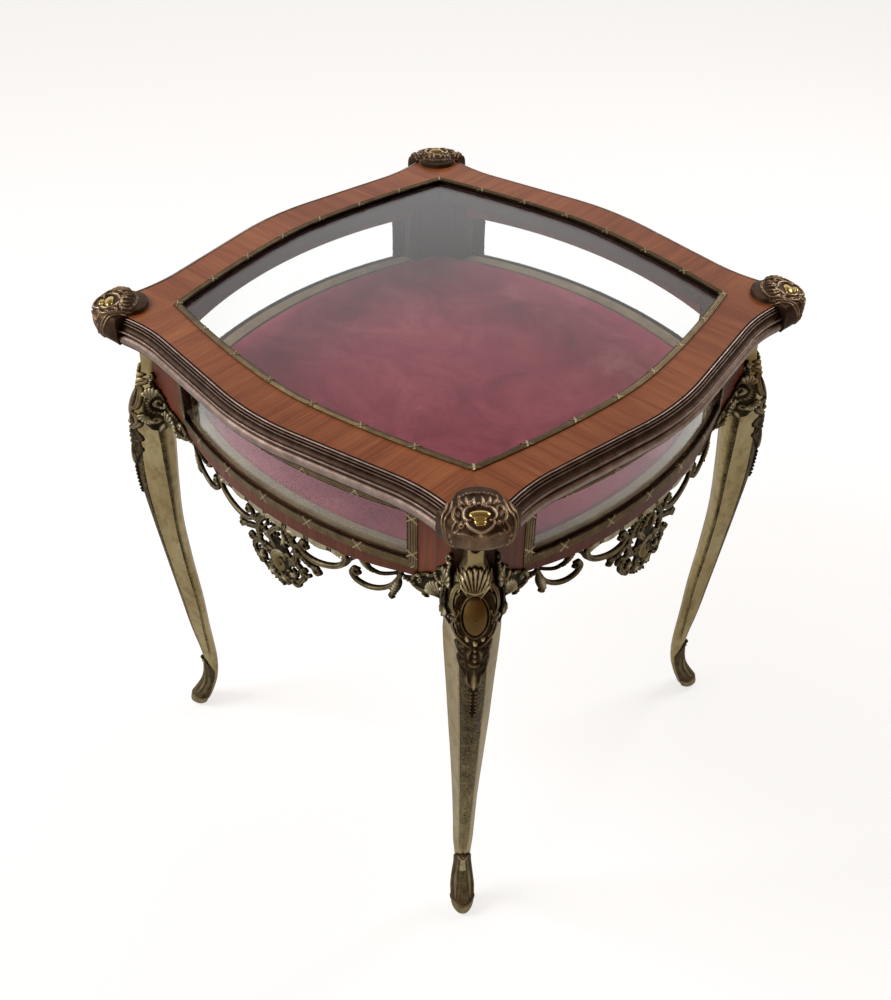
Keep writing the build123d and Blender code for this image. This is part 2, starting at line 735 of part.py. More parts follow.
def write_side(name, angle):
    case_rail = top_rail()
    lid_side = lid_rail()
    moulding = lid_moulding()
    if name == "back":
        for x in (-hinge_half, hinge_half):
            mortise, recess = back_cuts(x)
            case_rail -= mortise
            lid_side -= recess
            moulding -= recess
    if name == "front":
        case_rail -= lock_pocket()
        case_rail -= keyhole(2 * frame_depth)
        lid_side -= lock_block(lock_width / 2, lock_depth / 2, -lid_gap - leaf_thickness, -lid_gap)
    write(f"bottom_rail_{name}", turned(bottom_rail(), angle))
    write(f"top_rail_{name}", turned(case_rail, angle))
    write(f"side_pane_{name}", turned(side_pane(), angle))
    write(f"apron_{name}", turned(apron(), angle))
    write(f"lid_rail_{name}", turned(lid_side, angle))
    write(f"lid_moulding_{name}", turned(moulding, angle))


def write_corner(name, angle):
    write(f"corner_post_{name}", turned(corner_post_bored(), angle))
    write(f"leg_{name}", turned(leg(), angle + 45))
    write(f"sabot_{name}", turned(sabot(), angle + 45))
    write(f"corner_brackets_{name}", *[turned(half, angle) for half in corner_brackets()])
    write(f"corner_clasp_{name}", turned(corner_clasp(), angle + 45))


def build():
    for name, angle in sides.items():
        write_side(name, angle)
    for name, angle in corners.items():
        write_corner(name, angle)

    at_corners = [angle + 45 for angle in corners.values()]
    write("knee_mounts", *[turned(knee_mount(), a) for a in at_corners])
    write("sabot_pins", *[turned(sabot_pin(), a) for a in at_corners])
    write("leg_bolts", *[turned(leg_bolt(h), a) for a in at_corners for h in bolt_heights])
    write("side_beading", *[turned(bar, a) for a in sides.values() for bar in side_beading()])

    ledge = bow_bar(-stop_front, stop_front + ledge_width, opening_half, ledge_low, ledge_top)
    write("ledge_border", *[turned(ledge, a) for a in sides.values()])
    write("base_board", inside_bows(frame_depth + board_play, board_low, board_top))
    pad_inset = stop_front + ledge_width + pad_play
    write("velvet_pad", inside_bows(pad_inset, board_top, ledge_top + pad_rise))

    write("lid_pane", lid_pane())
    write("lid_beading", *lid_beading())
    write("hinge_case_leaves", case_leaf(-hinge_half), case_leaf(hinge_half))
    write("hinge_lid_leaves", lid_leaf(-hinge_half), lid_leaf(hinge_half))
    pin_length = leaf_width + knuckle_gap
    write("hinge_pins", *[hinge_knuckle(x, pin_radius, pin_length) for x in (-hinge_half, hinge_half)])

    write("lock_case", turned(lock_case(), sides["front"]))
    write("lock_bolt", turned(latch(), sides["front"]))
    write("lid_staple", turned(lid_staple(), sides["front"]))
    write("keyhole_plate", turned(escutcheon(), sides["front"]))


build()
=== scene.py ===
"""Looks of the square display table: cast brass legs and mounts, veneered case and lid,
beaded glass and a velvet pad.

Lengths are in millimetres and angles in degrees up to the point where a mesh is written,
in metres. Side pieces are worked out facing +Y and turned to their side, corner pieces on
the +X axis and turned to their corner.
"""
from functools import partial

import bpy
import numpy as np
from mathutils import Matrix, Vector


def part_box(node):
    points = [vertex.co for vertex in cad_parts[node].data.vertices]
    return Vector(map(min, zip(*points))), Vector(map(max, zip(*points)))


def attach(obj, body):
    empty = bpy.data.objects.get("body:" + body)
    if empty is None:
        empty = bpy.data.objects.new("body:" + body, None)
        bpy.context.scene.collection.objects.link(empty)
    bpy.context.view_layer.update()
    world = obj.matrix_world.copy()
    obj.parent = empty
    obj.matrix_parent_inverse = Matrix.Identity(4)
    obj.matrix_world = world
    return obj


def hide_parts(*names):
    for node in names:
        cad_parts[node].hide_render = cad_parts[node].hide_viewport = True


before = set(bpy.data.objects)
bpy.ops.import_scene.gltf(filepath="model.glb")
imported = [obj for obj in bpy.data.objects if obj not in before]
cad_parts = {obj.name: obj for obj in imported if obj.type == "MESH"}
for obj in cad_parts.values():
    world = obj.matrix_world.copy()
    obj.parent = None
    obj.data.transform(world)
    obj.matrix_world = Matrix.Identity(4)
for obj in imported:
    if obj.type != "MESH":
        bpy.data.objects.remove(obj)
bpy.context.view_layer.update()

SIDES = {"back": 0, "left": 90, "front": 180, "right": 270}
CORNERS = {"back_right": 45, "back_left": 135, "front_left": 225, "front_right": 315}


def extent(node):
    """Lowest and highest corner of a CAD node, in millimetres."""
    low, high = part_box(node)
    return np.array(low) * 1000, np.array(high) * 1000


# ---- sizes from the frame
LID_TOP = extent("lid_rail_back")[1][2]
LID_BOTTOM = extent("lid_rail_back")[0][2]
CASE_TOP = extent("top_rail_back")[1][2]
CASE_BOTTOM = extent("bottom_rail_back")[0][2]
CASE_HALF = extent("bottom_rail_back")[1][1]
OPENING_HALF = extent("bottom_rail_back")[1][0]
STILE_FACE = extent("corner_post_back_right")[1][0]
PANE_LOW, PANE_HIGH = extent("side_pane_back")[0][2], extent("side_pane_back")[1][2]
PAD_LOW, PAD_HIGH = extent("velvet_pad")[0][2], extent("velvet_pad")[1][2]
PAD_HALF = extent("velvet_pad")[1][0]
CLASP_TOP = LID_TOP + 5.6
CUT_CORNER = 279.75     # where the cut face of a post crosses the diagonal, along X and along Y
APRON_BACK = 5.2        # from the case's face back to the back of an apron
BEAD_BACK = 1.4         # from the case's face out to the ground of a side beading
PANE_FACES = -4.4, -7.9     # faces of a side pane, out from the case's face
RAIL_DIP, RAIL_DIP_HALF = 7.0, 192.0    # depth and half length of a bottom rail's dip
EDGE_THICK = 6.0        # thickness of the strip under a bottom rail
PIN_RADIUS, PIN_HEIGHT = 3.8, 102.0     # head of a sabot pin, and its middle over the floor
CABOCHON_HALF = 14.6, 23.8  # half width and half height of a knee's cabochon
CABOCHON_MIDDLE = 7.0   # its middle over the rail bottoms

# ---- plan of the case and the lid
BOW_RISE = 37.4
BOW_RADIUS = (OPENING_HALF**2 + BOW_RISE**2) / (2 * BOW_RISE)
BOW_CENTRE = CASE_HALF - BOW_RADIUS
BEAD_WIDTH = 13.0
BEAD_LOW = CASE_BOTTOM + 13.0
BEAD_HIGH = CASE_TOP - 12.0
LID_HALF = 344.0
LID_BOW = 370.0
LID_SLOPE = 9.5
LID_STRAIGHT = 137.0
LID_SWEEP = 240.0
MOULDING_END = 9.7
MOULDING_REACH = 17.5
WINDOW_HALF = 295.0
WINDOW_BOW = 480.0
WINDOW_BOW_ANGLE = 6.0
WINDOW_SIDE = 1500.0
LID_BEAD_WIDTH = 9.0

# Leg sections on the diagonal: height, outer face, inner face, where it is widest,
# half width of the outer face, half width at the widest, half width of the inner face
LEG_SECTIONS = np.array((
    (0.0, 418.0, 404.0, 411.0, 3.0, 6.0, 3.0),
    (6.0, 422.5, 398.0, 411.0, 5.0, 10.0, 4.0),
    (20.0, 420.0, 391.5, 407.0, 6.0, 13.0, 5.0),
    (38.0, 410.0, 384.5, 398.0, 6.5, 14.5, 5.0),
    (60.0, 400.5, 378.5, 390.0, 6.0, 12.5, 4.5),
    (90.0, 396.5, 375.5, 387.0, 6.5, 11.0, 4.0),
    (120.0, 398.5, 376.0, 388.0, 8.0, 13.0, 4.5),
    (174.3, 408.0, 379.5, 392.0, 9.5, 14.5, 5.0),
    (235.0, 416.0, 382.5, 395.0, 11.0, 16.5, 5.5),
    (316.5, 426.5, 389.5, 402.5, 13.0, 20.5, 6.0),
    (395.9, 436.5, 394.0, 407.5, 15.0, 25.0, 7.5),
    (469.0, 444.5, 391.5, 409.0, 17.0, 29.0, 8.0),
    (538.0, 445.0, 387.0, 410.0, 19.0, 33.0, 8.0),
    (580.0, 441.0, 386.0, 409.0, 21.5, 34.0, 9.0),
    (604.0, 435.0, 389.0, 408.0, 23.0, 34.0, 12.0),
    (630.0, 426.0, 396.0, 407.0, 22.0, 33.0, 20.0),
    (650.0, 419.5, 396.0, 405.0, 15.0, 22.0, 18.0),
    (672.0, 415.5, 396.0, 404.0, 9.0, 12.5, 12.0),
    (702.0, 414.0, 396.0, 405.0, 9.0, 12.0, 11.5),
))


# ---- meshes
def turned(points, angle):
    """Points turned about the vertical axis."""
    a = np.radians(angle)
    spin = np.array([[np.cos(a), np.sin(a), 0], [-np.sin(a), np.cos(a), 0], [0, 0, 1]])
    return points @ spin


def mirrored_across_diagonal(points):
    """Points with X and Y exchanged, from one side of a corner to the other."""
    return points[:, [1, 0, 2]]


def outward(points, quads):
    """Quads of a closed surface, turned round if its signed volume is negative."""
    a, b, c, d = (points[quads[:, k]] for k in range(4))
    volume = (a * np.cross(b, c)).sum() + (a * np.cross(c, d)).sum()
    return quads if volume > 0 else quads[:, ::-1]


def merged(parts):
    """One set of points, quads and values from several."""
    points, quads, values, start = [], [], [], 0
    for p, q, v in parts:
        points.append(p)
        quads.append(q + start)
        values.append(v)
        start += len(p)
    return np.vstack(points), np.vstack(quads), np.concatenate(values)


def write_piece(name, body, slot, material, parts, node, sharp=None):
    """Piece from parts of (points in mm, quads, a value per point kept as `relief`). Edges that
    turn by more than `sharp` degrees are drawn sharp."""
    points, quads, values = merged([(p, outward(p, q), v) for p, q, v in parts])
    used, quads = np.unique(quads, return_inverse=True)
    points, values, quads = points[used] * 0.001, values[used], quads.reshape(-1, 4)
    mesh = bpy.data.meshes.new(name)
    mesh.from_pydata(points, [], quads)
    mesh.attributes.new("relief", "FLOAT", "POINT").data.foreach_set("value", values)
    mesh.polygons.foreach_set("use_smooth", np.ones(len(quads), bool))
    mesh.validate()
    if sharp:
        mesh.set_sharp_from_angle(angle=np.radians(sharp))
    piece = bpy.data.objects.new(name, mesh)
    bpy.context.scene.collection.objects.link(piece)
    mesh.materials.append(material)
    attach(piece, body)
    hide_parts(node)
    return piece


def grid_quads(rows, columns, round_rows=False, round_columns=False):
    """Quads between the points of a grid, closed on itself in either direction."""
    index = np.arange(rows * columns).reshape(rows, columns)
    if round_rows:
        index = np.vstack([index, index[:1]])
    if round_columns:
        index = np.hstack([index, index[:, :1]])
    corners = (index[:-1, :-1], index[:-1, 1:], index[1:, 1:], index[1:, :-1])
    return np.stack(corners, -1).reshape(-1, 4)


def tube(rings, values=None):
    """Closed surface from a stack of rings (ring, point, 3), each end drawn to its middle."""
    count = rings.shape[1]
    middles = [np.repeat(rings[k].mean(0)[None], count, 0) for k in (0, -1)]
    points = np.concatenate([middles[0][None], rings, middles[1][None]])
    if values is None:
        values = np.zeros(rings.shape[:2])
    values = np.concatenate([values[:1], values, values[-1:]])
    quads = grid_quads(*points.shape[:2], round_columns=True)
    return points.reshape(-1, 3), quads, values.ravel()


def shell_quads(keep):
    """Quads of a front grid, of a back grid numbered after it, and of the rim between them,
    where `keep` is true."""
    rows, columns = keep.shape
    index = np.arange((rows + 1) * (columns + 1)).reshape(rows + 1, columns + 1)
    back = index.size
    a, b, c, d = index[:-1, :-1], index[:-1, 1:], index[1:, 1:], index[1:, :-1]
    front = np.stack([a, b, c, d], -1)[keep]
    quads = [front, front[:, ::-1] + back]
    padded = np.pad(keep, 1)
    beside = ((padded[:-2, 1:-1], a, b), (padded[1:-1, 2:], b, c),
              (padded[2:, 1:-1], c, d), (padded[1:-1, :-2], d, a))
    for neighbour, p, q in beside:
        edge = keep & ~neighbour
        quads.append(np.stack([q[edge], p[edge], p[edge] + back, q[edge] + back], -1))
    return np.vstack(quads)


def slab(front, back, values=None, keep=None):
    """Closed body between two grids of points (row, column, 3), in the cells where `keep` is
    true. The values belong to the front, and those of the back are 0."""
    rows, columns = front.shape[:2]
    values = np.zeros((rows, columns)) if values is None else values
    keep = np.ones((rows - 1, columns - 1), bool) if keep is None else keep
    points = np.vstack([front.reshape(-1, 3), back.reshape(-1, 3)])
    return points, shell_quads(keep), np.concatenate([values.ravel(), np.zeros(values.size)])


# ---- lines
def through(a, b, c, d, u):
    """Catmull-Rom curve from b to c at share u, which is half of a cubic in u, and its slope."""
    square, cube = 2 * a - 5 * b + 4 * c - d, 3 * b - a - 3 * c + d
    return ((2 * b + (c - a) * u + square * u**2 + cube * u**3) / 2,
            (c - a + 2 * square * u + 3 * cube * u**2) / 2)


def smooth_line(points, count):
    """Catmull-Rom line through given points, in any number of columns."""
    p = np.array(points, float)
    p = np.vstack([2 * p[0] - p[1], p, 2 * p[-1] - p[-2]])
    spans = len(p) - 3
    t = np.linspace(0, spans, count)
    i = np.minimum(t.astype(int), spans - 1)
    u = (t - i)[:, None]
    return through(p[i], p[i + 1], p[i + 2], p[i + 3], u)[0]


def level(table, heights):
    """Rows of a table at the given heights: a smooth line through its rows."""
    fine = smooth_line(table, 60 * len(table))
    order = np.maximum.accumulate(fine[:, 0])
    return np.stack([np.interp(heights, order, fine[:, k]) for k in range(1, fine.shape[1])])


def heading(angle):
    """Unit vector at an angle from +Y towards +X, for an array of angles."""
    a = np.radians(angle)
    return np.stack([np.sin(a), np.cos(a)], -1)


def both_halves(points, normals):
    """A line from the middle of a side outwards, and its mirror image before it."""
    return [np.vstack([half[:0:-1] * [-1, 1], half]) for half in (points, normals)]


def full_turn(count):
    """Angles all the way round a circle, in radians."""
    return np.linspace(0, 2 * np.pi, count, endpoint=False)


def spaced_angles(start, end, radius, step):
    """Angles along an arc, at places about a step apart."""
    return np.linspace(start, end, int(radius * np.radians(abs(end - start)) / step))


def lid_edge(step=6.0):
    """Veneer edge of one side: bow, straight and hollow sweep, as points and outward normals."""
    bow_angles = spaced_angles(0, LID_SLOPE, LID_BOW, step)
    centre = np.array([0, LID_HALF - LID_BOW])
    bow = centre + heading(bow_angles) * LID_BOW
    runs = np.linspace(0, LID_STRAIGHT, int(LID_STRAIGHT / step))[1:, None]
    straight = bow[-1] + heading(LID_SLOPE + 90) * runs
    sweep_angles = spaced_angles(LID_SLOPE, -MOULDING_END, LID_SWEEP, step)[1:]
    sweep_centre = straight[-1] + heading(LID_SLOPE) * LID_SWEEP
    sweep = sweep_centre - heading(sweep_angles) * LID_SWEEP
    angles = np.concatenate([bow_angles, np.full(len(runs), LID_SLOPE), sweep_angles])
    return both_halves(np.vstack([bow, straight, sweep]), heading(angles))


def window_edge(step=1.3):
    """Outer edge of the lid beading on one side, up to the mitre, with outward normals."""
    centre = np.array([0, WINDOW_HALF - WINDOW_BOW])
    side_centre = centre - heading(WINDOW_BOW_ANGLE) * (WINDOW_SIDE - WINDOW_BOW)
    across = (side_centre[0] - side_centre[1]) / np.sqrt(2)
    mitre = 45 - np.degrees(np.arcsin(across / WINDOW_SIDE))
    bow_angles = spaced_angles(0, WINDOW_BOW_ANGLE, WINDOW_BOW, step)
    side_angles = spaced_angles(WINDOW_BOW_ANGLE, mitre, WINDOW_SIDE, step)[1:]
    points = np.vstack([centre + heading(bow_angles) * WINDOW_BOW,
        side_centre + heading(side_angles) * WINDOW_SIDE])
    return both_halves(points, heading(np.concatenate([bow_angles, side_angles])))


def on_bow(x, z, out):
    """Points of a bowed side, `out` beyond the case's face."""
    y = BOW_CENTRE + np.sqrt((BOW_RADIUS + out) ** 2 - x**2)
    return np.stack(np.broadcast_arrays(x, y, z), -1)


# ---- carved relief
class Relief:
    """Relief on a grid of places (u, v): how far each place is outside the outline, and its
    height. Bars, leaves and knobs are added one by one, and the highest one shows. `flip` holds
    the signs that u and v of the next ones are multiplied by."""

    margin = 4.0
    flip = 1, 1

    def __init__(self, u, v):
        self.u, self.v = u, v
        self.outside = np.full(u.shape, 50.0)
        self.height = np.zeros(u.shape)
        self.rubbed = np.zeros(u.shape)

    def window(self, low, high):
        """Slices of the grid that hold the box between two places."""
        near = ((self.u > low[0] - self.margin) & (self.u < high[0] + self.margin)
                & (self.v > low[1] - self.margin) & (self.v < high[1] + self.margin))
        rows, columns = np.where(near.any(1))[0], np.where(near.any(0))[0]
        if not len(rows):
            return None
        return slice(rows[0], rows[-1] + 1), slice(columns[0], columns[-1] + 1)

    def add(self, part, outside, height):
        self.outside[part] = np.minimum(self.outside[part], outside)
        self.height[part] = np.maximum(self.height[part], np.where(outside < 0, height, 0))

    def bar(self, line, high, crease=0.45, ripple=0.0, pitch=3.0):
        """Rounded bar along a line of (u, v, half width). Its height is `high` times the square
        root of 1 - (distance / half width)^2, less a groove down the middle and cross ripples."""
        widest = line[:, 2].max()
        part = self.window(line[:, :2].min(0) - widest, line[:, :2].max(0) + widest)
        if part is None:
            return
        gap = np.hypot(self.u[part][..., None] - line[:, 0], self.v[part][..., None] - line[:, 1])
        gap = gap - line[:, 2]
        nearest = gap.argmin(-1)
        outside = gap.min(-1)
        half = line[nearest, 2]
        ratio = np.clip(1 + outside / half, 0, 1)
        groove = 1 - crease * np.exp(-(ratio / 0.28) ** 2)
        run = np.concatenate([[0], np.cumsum(np.hypot(*np.diff(line[:, :2], axis=0).T))])[nearest]
        waves = 1 - ripple * (0.5 + 0.5 * np.cos(2 * np.pi * run / pitch))
        size = (half / widest) ** 0.4
        self.add(part, outside, high * size * np.sqrt(1 - ratio**2) * groove * waves)

    def stroke(self, points, high, **style):
        """Bar along a smooth line through given (u, v, half width)."""
        self.bar(smooth_line(points, 24 * len(points)) * [*self.flip, 1], high, **style)

    def curl(self, u, v, radius, start, turn, half, high, **style):
        """Spiral bar that winds out from an eye: its radius grows evenly with its angle."""
        t = np.linspace(0, 1, 60)
        sign_u, sign_v = self.flip
        angle = np.radians(start + sign_u * sign_v * turn * t)
        reach = radius * (0.12 + 0.88 * t)
        line = np.stack([sign_u * u + reach * np.cos(angle), sign_v * v + reach * np.sin(angle),
            half * (0.6 + 0.4 * t)], -1)
        self.bar(line, high, **style)

    def knob(self, u, v, half_u, half_v, high):
        """Dome on an oval: its height is `high` times the square root of 1 - radius^2."""
        u, v = u * self.flip[0], v * self.flip[1]
        part = self.window((u - half_u, v - half_v), (u + half_u, v + half_v))
        if part is None:
            return
        ratio = np.hypot((self.u[part] - u) / half_u, (self.v[part] - v) / half_v)
        outside = (ratio - 1) * min(half_u, half_v)
        self.add(part, outside, high * np.sqrt(np.clip(1 - ratio**2, 0, 1)))

    def fan(self, u, v, radius, middle, spread, flutes, high, start=0.15, shorter=0.0):
        """Shell: flutes side by side that open from a point, each with a round end. The outermost
        ones are `shorter` by that share, the others by its share of the angle squared."""
        for angle in np.linspace(-spread, spread, flutes):
            turn = np.radians(middle + angle)
            long = radius * (1 - shorter * (angle / spread) ** 2)
            half = long * np.radians(2 * spread / (flutes - 1)) * 0.5
            reach = np.linspace(start, 1, 24)[:, None]
            away = np.array([np.cos(turn), np.sin(turn)]) * reach * (long - half)
            self.bar(np.hstack([[u, v] + away, half * reach]), high, crease=0.0)

    def leaf(self, points, half, high, veins=4.0):
        """Pointed leaf along a smooth line: its half width follows a sine, with a midrib."""
        line = smooth_line(points, 80)
        t = np.linspace(0, 1, 80)
        width = half * np.sin(np.pi * np.clip(t, 0.04, 0.97) ** 0.8) + 0.4
        self.bar(np.hstack([line[:, :2] * self.flip, width[:, None]]), high, crease=-0.3,
            ripple=0.25, pitch=veins)

    def plate(self, outside, high, rubbed=0.0):
        """Flat ground wherever `outside` is negative, and how rubbed it is."""
        self.add(..., outside, np.full(self.u.shape, high))
        self.rubbed = np.maximum(self.rubbed, np.where(outside < 0, rubbed, 0))

    def pierce(self, u, v, radius):
        """Round hole through the relief."""
        self.outside = np.maximum(self.outside, radius - np.hypot(self.u - u, self.v - v))

    def worn(self):
        """How rubbed each place is: its share of the highest place, to the power 1.4, or more
        where its plate says so."""
        return np.maximum((self.height / self.height.max()) ** 1.4, self.rubbed)

    def cut(self, inside):
        """Removes all of the relief where `inside` is positive."""
        self.outside = np.maximum(self.outside, inside)


def pierced(relief, place, ground, step):
    """Closed mesh of a pierced casting. The grid keeps its cells inside the outline, and their
    outer corners are drawn on to it along the slope of the distance."""
    gone = relief.outside
    middle = (gone[:-1, :-1] + gone[1:, :-1] + gone[1:, 1:] + gone[:-1, 1:]) / 4
    keep = middle < 0
    around = np.pad(keep, 1)
    cells = np.stack([around[:-1, :-1], around[1:, :-1], around[1:, 1:], around[:-1, 1:]])
    rim = cells.any(0) & ~cells.all(0)
    slope_v, slope_u = np.gradient(gone, step)
    length = np.maximum(np.hypot(slope_u, slope_v), 0.5)
    move = np.where(rim, np.clip(gone, -step, step), 0) / length
    u = relief.u - move * slope_u / length
    v = relief.v - move * slope_v / length
    high = np.where(rim, 0, relief.height)
    front = place(u, v, ground + high)
    back = place(u, v, np.zeros(u.shape))
    return slab(front, back, np.where(rim, 0, relief.worn()), keep)


def sheet_of(u0, u1, v0, v1, step):
    """Grid of places between two corners."""
    return np.meshgrid(np.arange(u0, u1 + step, step), np.arange(v0, v1 + step, step))


# ---- material nodes
def linear(code):
    """Linear colour of an sRGB hex value."""
    s = np.array([int(code[k:k + 2], 16) for k in (1, 3, 5)]) / 255
    return (*np.where(s <= 0.04045, s / 12.92, ((s + 0.055) / 1.055) ** 2.4), 1.0)


def add_node(tree, kind, **settings):
    """Node with its settings: a lower-case key is a property, a capital one an input by name,
    and _0, _1, ... an input by number. An input takes a value, another node's output, or a node,
    which stands for its first output. A material's own `add` is this one with its tree."""
    node = tree.nodes.new("ShaderNode" + kind)
    for key, value in settings.items():
        if key[0].islower():
            setattr(node, key, value)
            continue
        socket = node.inputs[int(key[1:]) if key[0] == "_" else key.replace("_", " ")]
        if isinstance(value, bpy.types.Node):
            value = value.outputs[0]
        if isinstance(value, bpy.types.NodeSocket):
            tree.links.new(value, socket)
        else:
            socket.default_value = value
    return node


def new_material(name, shader_of, *looks, **more):
    """Material from a function that adds its nodes and returns the last shader."""
    made = bpy.data.materials.new(name)
    made.use_nodes = True
    made.node_tree.nodes.clear()
    add = partial(add_node, made.node_tree)
    add("OutputMaterial", Surface=shader_of(add, *looks, **more))
    return made


def ramp(add, factor, stops):
    """Colour ramp over (place, hex colour) stops."""
    node = add("ValToRGB", Fac=factor)
    for _ in stops[2:]:
        node.color_ramp.elements.new(0.5)
    for element, (place, code) in zip(node.color_ramp.elements, stops):
        element.position = place
        element.color = linear(code)
    return node


def per_metre(millimetres):
    """Texture scale at which one feature is this many millimetres wide."""
    return 1000.0 / millimetres


def bumped(add, height, strength, millimetres, invert=False, **looks):
    """Principled shader over a bump that is this many millimetres high."""
    bump = add("Bump", Strength=strength, Distance=millimetres / 1000, invert=invert, Height=height)
    return add("BsdfPrincipled", Normal=bump, **looks)


def cast_brass(add, stops, polish=0.3, dull=0.6, grain=1.2, mottle=14.0, pitting=0.25):
    """Cast and chased brass, patinated dark and rubbed bright where it stands proud: the hollows
    stay dull, the tops shine. `relief` says how proud a place is, and mottling shifts it."""
    place = add("TexCoord").outputs["Object"]
    relief = add("Attribute", attribute_name="relief").outputs["Fac"]
    cloud = add("TexNoise", Vector=place, Scale=per_metre(mottle), Detail=4.0, Roughness=0.6)
    fine = add("TexNoise", Vector=place, Scale=per_metre(grain), Detail=3.0, Roughness=0.6)
    shift = add("Math", operation="MULTIPLY_ADD", _0=cloud, _1=0.5, _2=-0.25)
    worn = add("Math", operation="ADD", _0=relief, _1=shift)
    speck = add("Math", operation="MULTIPLY_ADD", _0=fine, _1=0.36, _2=-0.18)
    worn = add("Math", operation="ADD", use_clamp=True, _0=worn, _1=speck)
    rough = add("MapRange", Value=worn, To_Min=dull, To_Max=polish)
    return bumped(add, fine, pitting, 0.4, Base_Color=ramp(add, worn, stops), Metallic=1.0,
        Roughness=rough)


def leg_brass(add):
    """Cast brass of a leg: flanks buffed to a pale gold, front panel punched all over with fine
    dots and left dark. `relief` is 1 on the flanks and rims, 0.3 on the panel and 0 in grooves, and
    it is low in the cove behind the lip, which is painted shade."""
    place = add("TexCoord").outputs["Object"]
    tone = add("Attribute", attribute_name="relief").outputs["Fac"]
    flank = add("MapRange", Value=tone, From_Min=0.35, From_Max=0.95)
    open_face = add("MapRange", Value=tone, From_Min=0.0, From_Max=0.28)
    long = add("Mapping", Vector=place, Scale=(1.0, 1.0, 0.35))
    cloud = add("TexNoise", Vector=long, Scale=per_metre(45), Detail=5.0, Roughness=0.6)
    stain = add("TexNoise", Vector=place, Scale=per_metre(16), Detail=4.0, Roughness=0.7)
    buffed = ramp(add, cloud, ((0.3, "#A08D60"), (0.5, "#B8A678"), (0.7, "#CCBD94")))
    stained = add("Mix", data_type="RGBA", blend_type="MULTIPLY", Factor=0.4, _6=buffed,
        _7=ramp(add, stain, ((0.34, "#93865E"), (0.52, "#FFFFFF"))))
    # The punched dots are about 1 mm apart, drawn 1.8 mm apart so that they show
    dots = add("TexVoronoi", Vector=place, Scale=per_metre(1.8))
    patch = add("TexNoise", Vector=place, Scale=per_metre(22), Detail=5.0, Roughness=0.65)
    # Hands and feet have rubbed the panel paler towards the foot
    low = add("SeparateXYZ", Vector=place).outputs[2]
    low = add("MapRange", Value=low, From_Min=0.1, From_Max=0.42, To_Min=0.0, To_Max=0.24)
    low = add("Math", operation="MULTIPLY_ADD", _0=patch, _1=0.5, _2=low)
    punched = add("Math", operation="MULTIPLY_ADD", _0=dots, _1=0.55, _2=low)
    panel = ramp(add, punched, ((0.5, "#A5966A"), (0.66, "#7A6C46"), (0.8, "#453A24"),
        (0.95, "#2A2115")))
    # Grooves and the leg's cove go towards dark brown; in the cove this dark is painted shade.
    sunk = add("Mix", data_type="RGBA", Factor=open_face, _6=linear("#2A1E10"), _7=panel)
    mix = add("Mix", data_type="RGBA", Factor=flank, _6=sunk.outputs[2], _7=stained.outputs[2])
    rough = add("MapRange", Value=flank, To_Min=0.5, To_Max=0.34)
    pits = add("Math", operation="SUBTRACT", use_clamp=True, _0=1.0, _1=flank)
    pits = add("Math", operation="MULTIPLY", _0=pits, _1=dots)
    return bumped(add, pits, 0.5, 0.5, invert=True, Base_Color=mix.outputs[2], Metallic=1.0,
        Roughness=rough)


def veneer(add, stops, gloss, edge=None):
    """Kingwood veneer laid across the rail and polished: streaks 3 to 12 mm wide run square to
    the side, so the wood meets in a mitre at the corners. `edge` masks what isn't veneered."""
    place = add("TexCoord").outputs["Object"]
    apart = add("SeparateXYZ", Vector=place)
    across = add("VectorMath", operation="ABSOLUTE", _0=place)
    sizes = add("SeparateXYZ", Vector=across)
    on_x = add("Math", operation="GREATER_THAN", _0=sizes.outputs[0], _1=sizes.outputs[1])
    along = add("Mix", Factor=on_x, _2=apart.outputs[0], _3=apart.outputs[1])
    deep = add("Mix", Factor=on_x, _2=apart.outputs[1], _3=apart.outputs[0])
    grain = add("CombineXYZ", X=along, Y=deep, Z=apart.outputs[2])
    # Streaks are about thirty times longer than they are wide
    wide = add("Mapping", Vector=grain, Scale=(1.0, 0.035, 0.035))
    bands = add("TexNoise", Vector=wide, Scale=per_metre(14), Detail=5.0, Roughness=0.65,
        Distortion=0.3)
    lines = add("TexNoise", Vector=wide, Scale=per_metre(1.9), Detail=2.0, Roughness=0.6)
    figure = add("Mix", Factor=0.42, _2=bands, _3=lines)
    wood = ramp(add, figure, stops)
    leaves = add("TexNoise", Vector=place, Scale=per_metre(150), Detail=1.0)
    toned = add("Mix", data_type="RGBA", blend_type="MULTIPLY", Factor=0.55, _6=wood,
        _7=ramp(add, leaves, ((0.35, "#C9B4A6"), (0.65, "#FFFFFF"))))
    colour = toned.outputs[2]
    if edge:
        code, mask = edge(add, apart, sizes)
        colour = add("Mix", data_type="RGBA", Factor=mask, _6=linear(code), _7=colour).outputs[2]
    return bumped(add, figure, 0.12, 0.3, Base_Color=colour, Roughness=gloss, IOR=1.5,
        Specular_IOR_Level=0.25, Coat_Weight=0.1, Coat_Roughness=0.2)


def lid_underside(add, place, sizes):
    """Plain dark wood below the top of the lid."""
    mask = add("Math", operation="GREATER_THAN", _0=place.outputs[2], _1=(LID_TOP - 1) / 1000)
    return "#3A2A22", mask


def post_inside(add, place, sizes):
    """Plain wood inside the case and on the cut corner of a post."""
    face = add("Math", operation="MAXIMUM", _0=sizes.outputs[0], _1=sizes.outputs[1])
    outer = add("Math", operation="GREATER_THAN", _0=face, _1=(STILE_FACE - 1) / 1000)
    both = add("Math", operation="ADD", _0=sizes.outputs[0], _1=sizes.outputs[1])
    flat = add("Math", operation="LESS_THAN", _0=both, _1=2 * CUT_CORNER / 1000)
    mask = add("Math", operation="MULTIPLY", _0=outer, _1=flat)
    return "#44271C", mask


